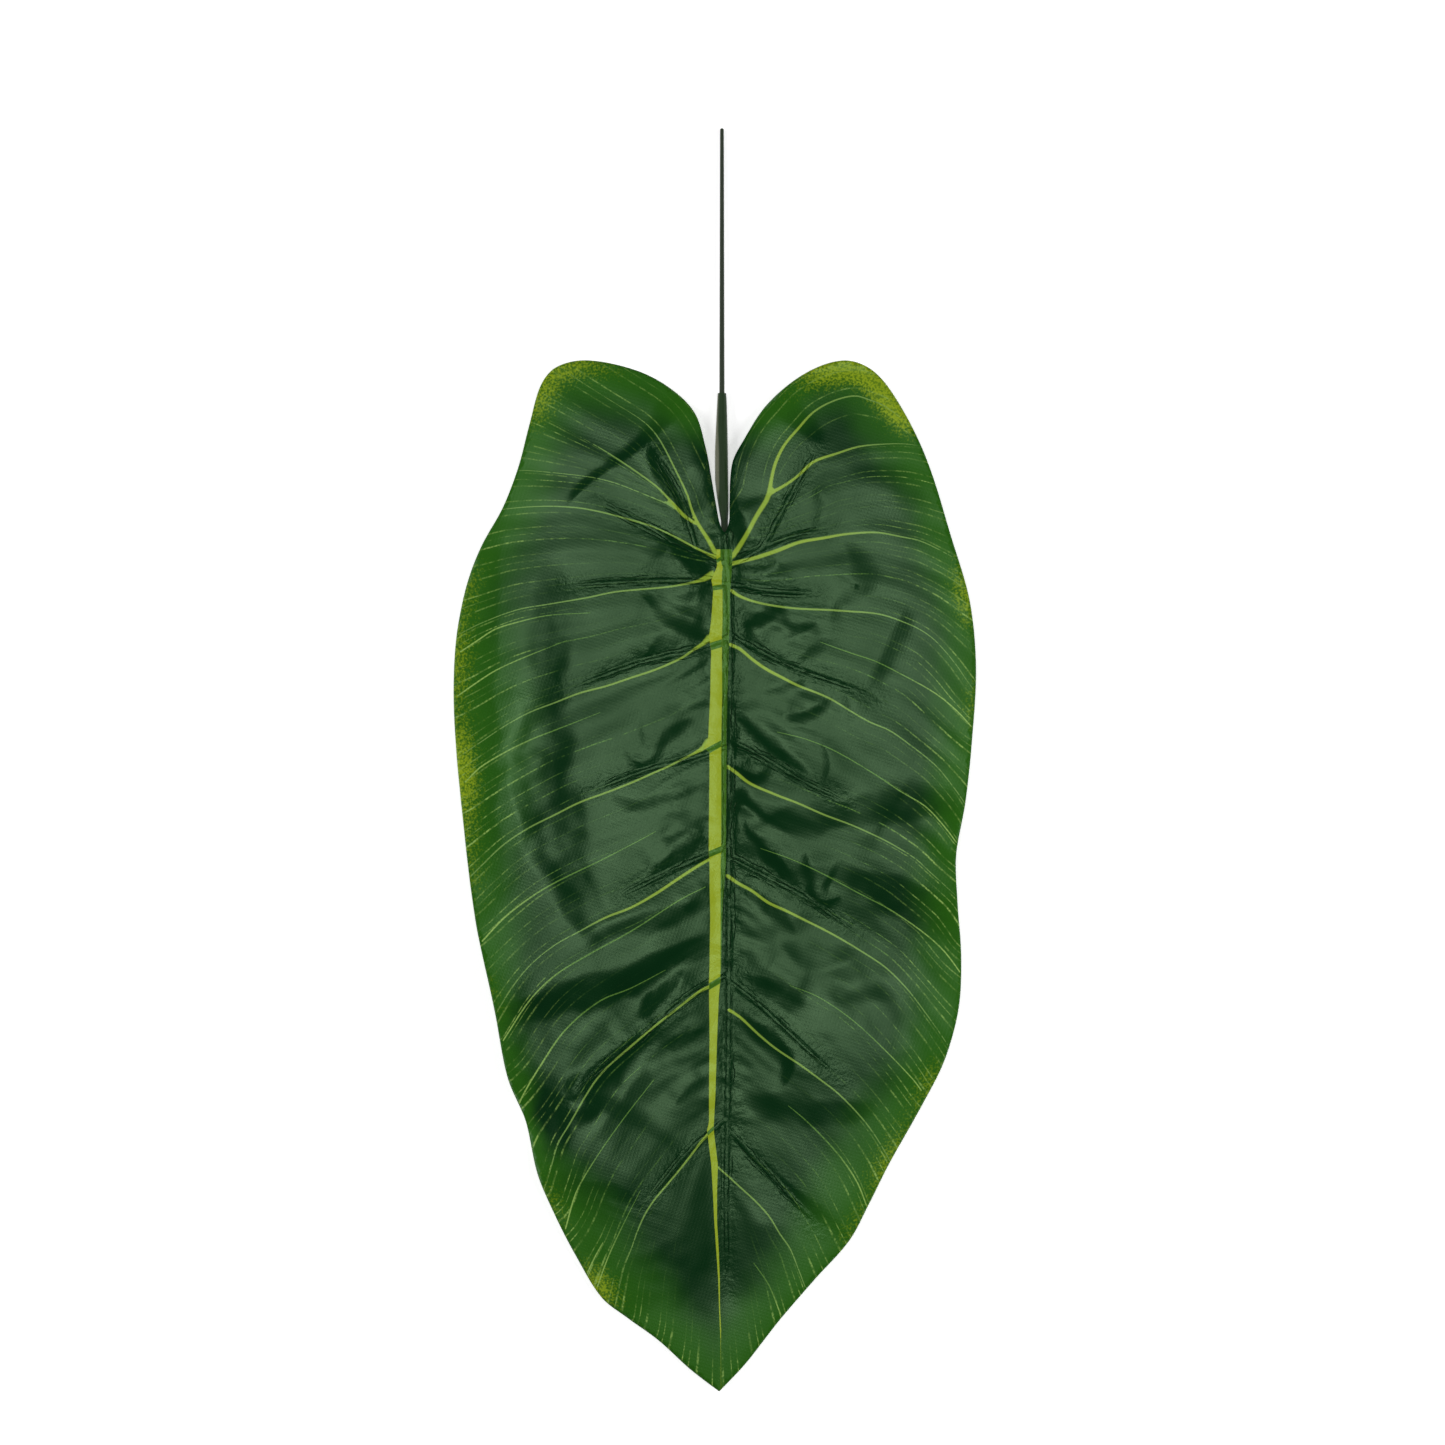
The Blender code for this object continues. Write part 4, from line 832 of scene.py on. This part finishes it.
# Colours of the print, the fabric, the plastics and the wire, with painted shade for the creases and a
# painted highlight for the sleeve
DARK_GREEN = (0.002, 0.025, 0.006)
MARGIN_GREEN = (0.022, 0.112, 0.006)
YELLOW_GREEN = (0.26, 0.37, 0.012)
VEIN_GREEN = (0.27, 0.4, 0.035)
CREASE_SHADE = (0.001, 0.006, 0.002)
VEIN_PALE = (0.165, 0.3, 0.07)
LINE_GREEN = (0.105, 0.23, 0.04)
LINE_YELLOW = (0.3, 0.48, 0.11)
STRIP_YELLOW = (0.32, 0.41, 0.02)
TRUNK_GREEN = (0.05, 0.145, 0.01)
FILM_TINT = (0.6, 1.0, 0.53, 1.0)
FABRIC_BACK = (0.05, 0.12, 0.04)
CUT_EDGE = (0.1, 0.22, 0.04)
OLIVE = (0.012, 0.03, 0.01)
OLIVE_LIGHT = (0.022, 0.05, 0.016)
SLEEVE_HIGHLIGHT = (0.15, 0.16, 0.11)
COATING = (0.02, 0.03, 0.018)
COATING_LIGHT = (0.035, 0.05, 0.03)
STEEL_DARK = (0.42, 0.42, 0.43)
STEEL_LIGHT = (0.62, 0.62, 0.64)
# How fine the weave is, and how far it is turned
WEAVE_SCALE = 260.0
WEAVE_TURN = 0.3

# Print: over what distance the margin's green fades and how much that wanders, how the edges of the fine
# lines fade, between which Y these lines get stronger, and below which Y the midrib is printed
MARGIN_FADE = (20.0, 1.0)
MARGIN_WANDER = 12.0
LINE_FADE = (0.27, 0.09)
TIPWARD = (-80.0, -150.0)
PRINT_TOP_Y = 76.0

# Depths of bumps
THREAD_DEPTH = 0.03
GROOVE_DEPTH = 0.3
CRUMPLE_DEPTH = 0.5
GRAIN_DEPTH = 0.05

# Painted highlight on the sleeve's left edge: X over which it fades, how much that wanders, and Y over which
# it starts
SLEEVE_HIGHLIGHT_FADE = (1.6, 0.9)
SLEEVE_HIGHLIGHT_WANDER = 1.2
SLEEVE_HIGHLIGHT_START = (90.0, 100.0)

FLOOR_SIZE = 6000.0
FLOOR_LEVEL = -0.2


def metres(sizes):
    """Sizes in millimetres turned into metres."""
    return [size * MM for size in sizes]


def woven(s):
    """Fine weave: two crossing sets of threads, as a height between 0 and 1."""
    threads = s.place((1.0, 1.0, 0.0), WEAVE_TURN)
    return s.calc("MAXIMUM", s.wave(threads, WEAVE_SCALE, "X"), s.wave(threads, WEAVE_SCALE, "Y"))


def printed_fabric():
    """Glossy film over a printed weave."""
    s = Shader("printed fabric")
    where = s.place()
    across, to_margin, yellow, index, gap = map(
        s.field, ("across", "to_margin", "yellow", "line_index", "line_gap"))
    vein, vein_half, strip, beyond, node = map(
        s.field, ("vein", "vein_half", "strip", "beyond_green", "rib_node"))

    # Base green, lighter towards the margin
    blotch = s.noise(where, 60.0, 3.0)
    from_margin = s.calc("ADD", to_margin, s.times(s.calc("SUBTRACT", blotch, 0.5), MARGIN_WANDER))
    from_margin = s.calc("DIVIDE", from_margin, s.field("green_reach"))
    colour = s.mix(s.ramp(from_margin, *MARGIN_FADE), DARK_GREEN, MARGIN_GREEN)

    # Fine yellow speckle where the print is yellower
    speckle = s.noise(where, 1300.0, 1.0)
    in_patch = s.ramp(s.calc("ADD", yellow, speckle), 0.75, 1.5)
    colour = s.mix(s.times(in_patch, s.ramp(speckle, 0.35, 0.6, 0.4, 1.0)), colour, YELLOW_GREEN)

    # Fine lines between the veins, each with its own strength and start, dotted by the weave
    threads = woven(s)
    uneven = s.calc("MULTIPLY_ADD", s.calc("SINE", s.times(index, 2.1)), 0.3, index)
    rounded = s.calc("ROUND", uneven)
    own = s.random(rounded)
    strong = s.calc("POWER", s.random(s.calc("ADD", rounded, 31.0)), 2.0)
    off_mm = s.times(s.calc("ABSOLUTE", s.calc("SUBTRACT", uneven, rounded)), gap)
    dash = s.noise(s.vector(s.times(across, 9.0), s.times(rounded, 7.3)), 1.0, 4.0, 0.8)
    start = s.calc("MULTIPLY_ADD", own, -0.4, 0.55)
    reached = s.ramp(s.calc("SUBTRACT", across, start), -0.1, 0.35)
    strength = s.times(s.ramp(dash, 0.36, 0.56), reached)
    outward = s.ramp(across, 0.55, 0.95)
    tipward = s.ramp(s.part(where, "Y"), *metres(TIPWARD), 0.38, 0.85)
    own_strength = s.calc("MAXIMUM", s.calc("MULTIPLY_ADD", strong, 0.8, 0.2), s.times(outward, tipward))
    strength = s.times(strength, own_strength)
    off_mm = s.times(off_mm, s.ramp(outward, 0.0, 1.0, 1.0, 0.75))
    line = s.times(s.ramp(off_mm, *LINE_FADE), strength)
    line = s.times(line, s.ramp(s.noise(where, 420.0, 0.0), 0.40, 0.52, 0.30, 1.0))
    dotted = s.times(line, s.ramp(threads, 0.2, 0.8, 0.4, 1.0))
    thin = s.times(s.ramp(s.field("thin_line"), 1.5, 0.6), s.ramp(dash, 0.28, 0.48, 0.35, 1.0))
    dotted = s.calc("MAXIMUM", dotted, s.times(thin, s.ramp(threads, 0.2, 0.8, 0.7, 1.0)))
    colour = s.mix(dotted, colour, s.mix(s.ramp(across, 0.6, 0.95), LINE_GREEN, LINE_YELLOW))

    # Main veins, breaking up near the margin
    broken = s.noise(where, 900.0, 1.0)
    whole = s.calc("ADD", s.ramp(vein_half, 0.15, 0.4), s.ramp(broken, 0.3, 0.5), clamp=True)
    vein_mask = s.times(s.ramp(vein, 1.05, 0.45), whole)
    colour = s.mix(vein_mask, colour, s.mix(s.ramp(vein_half, 0.25, 0.7), VEIN_PALE, VEIN_GREEN))

    # Midrib: green trunk, light strip, and green bands where the veins leave it
    starts = s.calc("LESS_THAN", s.part(where, "Y"), PRINT_TOP_Y * MM)
    right_of_strip = s.ramp(strip, 0.9, 1.1)
    trunk = s.times(s.times(right_of_strip, s.ramp(beyond, 0.15, -0.15)), starts)
    colour = s.mix(trunk, colour, TRUNK_GREEN)
    on_strip = s.times(s.ramp(s.calc("ABSOLUTE", strip), 1.08, 0.92), starts)
    colour = s.mix(on_strip, colour, STRIP_YELLOW)
    band = s.times(on_strip, s.ramp(node, 1.1, 0.9))
    colour = s.mix(band, colour, TRUNK_GREEN)

    # Thin, broken creases along both sides of each embossed rib, and here and there further out: a real
    # groove in the bump, with painted shade darkening the colour along it
    wander = s.calc("SUBTRACT", s.noise(where, 210.0, 4.0), 0.5)
    beside_rib = s.calc("MULTIPLY_ADD", wander, 1.9, s.field("rib_ratio"))
    edge_line = s.ramp(s.calc("ABSOLUTE", s.calc("SUBTRACT", beside_rib, 0.65)), 0.24, 0.0)
    outer_line = s.ramp(s.calc("ABSOLUTE", s.calc("SUBTRACT", beside_rib, 1.8)), 0.22, 0.0)
    outer_line = s.times(outer_line, s.ramp(s.noise(where, 70.0, 1.0), 0.45, 0.6))
    shaded_groove = s.times(s.calc("MAXIMUM", edge_line, outer_line), s.field("rib_fade"))
    shaded_groove = s.times(shaded_groove, s.ramp(s.noise(where, 230.0, 3.0), 0.38, 0.58, 0.15, 1.0))
    shaded_groove = s.times(shaded_groove, s.calc("SUBTRACT", 1.0, on_strip))
    # Painted shade: the crease lines are darkened in the colour, where the light misses them
    colour = s.mix(s.times(shaded_groove, 0.6), colour, CREASE_SHADE)

    # The folds' further lean, then the weave, the creases and fine crumples beside the ribs
    leaning = s.vector_calc("SUBTRACT", s.normal(), s.vector(s.field("lean_x"), s.field("lean_y")))
    grain = s.bump(threads, THREAD_DEPTH, 0.5, s.vector_calc("NORMALIZE", leaning))
    grain = s.bump(s.calc("SUBTRACT", 1.0, shaded_groove), GROOVE_DEPTH, 0.7, grain)
    crumple = s.times(s.noise(where, 450.0, 3.0, 0.6), s.ramp(s.field("by_rib"), 0.3, 1.0))
    ripple = s.bump(crumple, CRUMPLE_DEPTH, 0.5, grain)
    gloss = s.ramp(s.noise(where, 40.0, 2.0), 0.2, 0.8, 0.26, 0.34)
    s.set(Base_Color=colour, Roughness=gloss, Normal=ripple, IOR=1.5, Specular_Tint=FILM_TINT)
    return s.material


def plain(name, colour, roughness):
    """A matte surface with a faint grain."""
    s = Shader(name)
    darker = tuple(0.75 * c for c in colour)
    s.set(Base_Color=s.mix(s.noise(s.place(), 300.0, 3.0), darker, colour), Roughness=roughness)
    s.set(Normal=s.bump(woven(s), GRAIN_DEPTH, 0.6))
    return s.material


def moulded_plastic(name, colour, light, roughness, edge=None):
    """Plastic with faint flow marks along it, and a painted highlight on the sleeve's left edge if its colour
    is given.
    """
    s = Shader(name)
    where = s.place()
    streaks = s.noise(s.place((1.0, 0.05, 1.0)), 700.0, 3.0)
    cloud = s.noise(where, 120.0, 2.0)
    tone = s.mix(s.times(s.calc("ADD", streaks, cloud), 0.5), colour, light)
    # Painted highlight: the sleeve's left edge is made lighter in colour, standing in for light from the left
    if edge is not None:
        uneven = s.times(s.calc("SUBTRACT", streaks, 0.5), SLEEVE_HIGHLIGHT_WANDER * MM)
        leftward = s.ramp(s.calc("ADD", uneven, s.part(where, "X")), *metres(SLEEVE_HIGHLIGHT_FADE))
        on_sleeve = s.ramp(s.part(where, "Y"), *metres(SLEEVE_HIGHLIGHT_START))
        tone = s.mix(s.times(leftward, on_sleeve), tone, edge)
    s.set(Base_Color=tone, Roughness=s.ramp(cloud, 0.2, 0.8, roughness, roughness + 0.12))
    s.set(Normal=s.bump(streaks, GRAIN_DEPTH, 0.4))
    return s.material


def drawn_wire():
    """Drawn steel wire."""
    s = Shader("drawn steel")
    streaks = s.noise(s.place((1.0, 0.02, 1.0)), 3000.0, 2.0)
    s.set(Base_Color=s.mix(streaks, STEEL_DARK, STEEL_LIGHT), Metallic=1.0)
    s.set(Roughness=s.ramp(streaks, 0.2, 0.8, 0.3, 0.45))
    return s.material


def finish_node(name, material):
    """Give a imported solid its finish."""
    solid = bpy.data.objects[name]
    solid.data.materials.clear()
    solid.data.materials.append(material)


def floor():
    """A plain pale floor."""
    bpy.ops.mesh.primitive_plane_add(size=FLOOR_SIZE * MM, location=(0.0, 0.0, FLOOR_LEVEL * MM))
    ground = bpy.context.object
    ground.name = "floor"
    s = Shader("pale floor")
    s.set(Base_Color=(0.9, 0.9, 0.9), Roughness=0.9, Emission_Color=(1.0, 1.0, 1.0), Emission_Strength=0.5)
    ground.data.materials.append(s.material)


def soft_light(name, place, width, length, radiance, in_gloss):
    """A soft light that faces the leaf, with an even brightness all over."""
    lamp = bpy.data.lights.new(name, "AREA")
    lamp.shape = "RECTANGLE"
    lamp.size = width
    lamp.size_y = length
    lamp.energy = radiance * math.pi * width * length
    made = bpy.data.objects.new(name, lamp)
    made.location = place
    made.rotation_euler = (-made.location).to_track_quat("-Z", "Y").to_euler()
    made.visible_glossy = in_gloss
    bpy.context.scene.collection.objects.link(made)


# The camera's view, in metres: its middle, and its width at one level
VIEW_MIDDLE = (0.0027, 0.0134)
VIEW_WIDTH = 0.5219
VIEW_LEVEL = 0.004
LENS = 100.0
SENSOR = 36.0


def camera():
    """Straight above, framed as the photograph is."""
    eye = bpy.data.cameras.new("camera")
    eye.lens = LENS
    eye.sensor_width = SENSOR
    made = bpy.data.objects.new("camera", eye)
    made.location = (*VIEW_MIDDLE, VIEW_LEVEL + VIEW_WIDTH * LENS / SENSOR)
    bpy.context.scene.collection.objects.link(made)
    bpy.context.scene.camera = made


# Lights, in metres: name, place, width, length, radiance, whether the film reflects it
LIGHTS = [
    ("overhead", (-0.10, 0.03, 2.20), 0.40, 1.0, 3.9, True),
    ("overhead spread", (-0.05, 0.0, 2.25), 1.1, 1.5, 0.75, True),
    ("overhead edge", (0.0, 0.0, 2.30), 1.6, 2.0, 0.25, True),
    ("left fill", (-1.6, 0.4, 0.9), 1.2, 1.0, 6.0, False),
    ("right fill", (1.6, -0.2, 0.9), 1.2, 1.0, 6.0, False),
]

camera()
floor()
world = bpy.data.worlds.new("dim room")
world.use_nodes = True
background = world.node_tree.nodes["Background"].inputs
background["Color"].default_value = (1.0, 1.0, 1.0, 1.0)
background["Strength"].default_value = 0.05
bpy.context.scene.world = world
bpy.context.scene.view_settings.view_transform = "Standard"
for light in LIGHTS:
    soft_light(*light)

blade = printed_blade()
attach(blade, "root")
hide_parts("blade")
finish_node("rib_frame", moulded_plastic("olive plastic", OLIVE, OLIVE_LIGHT, 0.40, SLEEVE_HIGHLIGHT))
finish_node("stem_coating", moulded_plastic("dark coating", COATING, COATING_LIGHT, 0.35))
finish_node("stem_wire", drawn_wire())
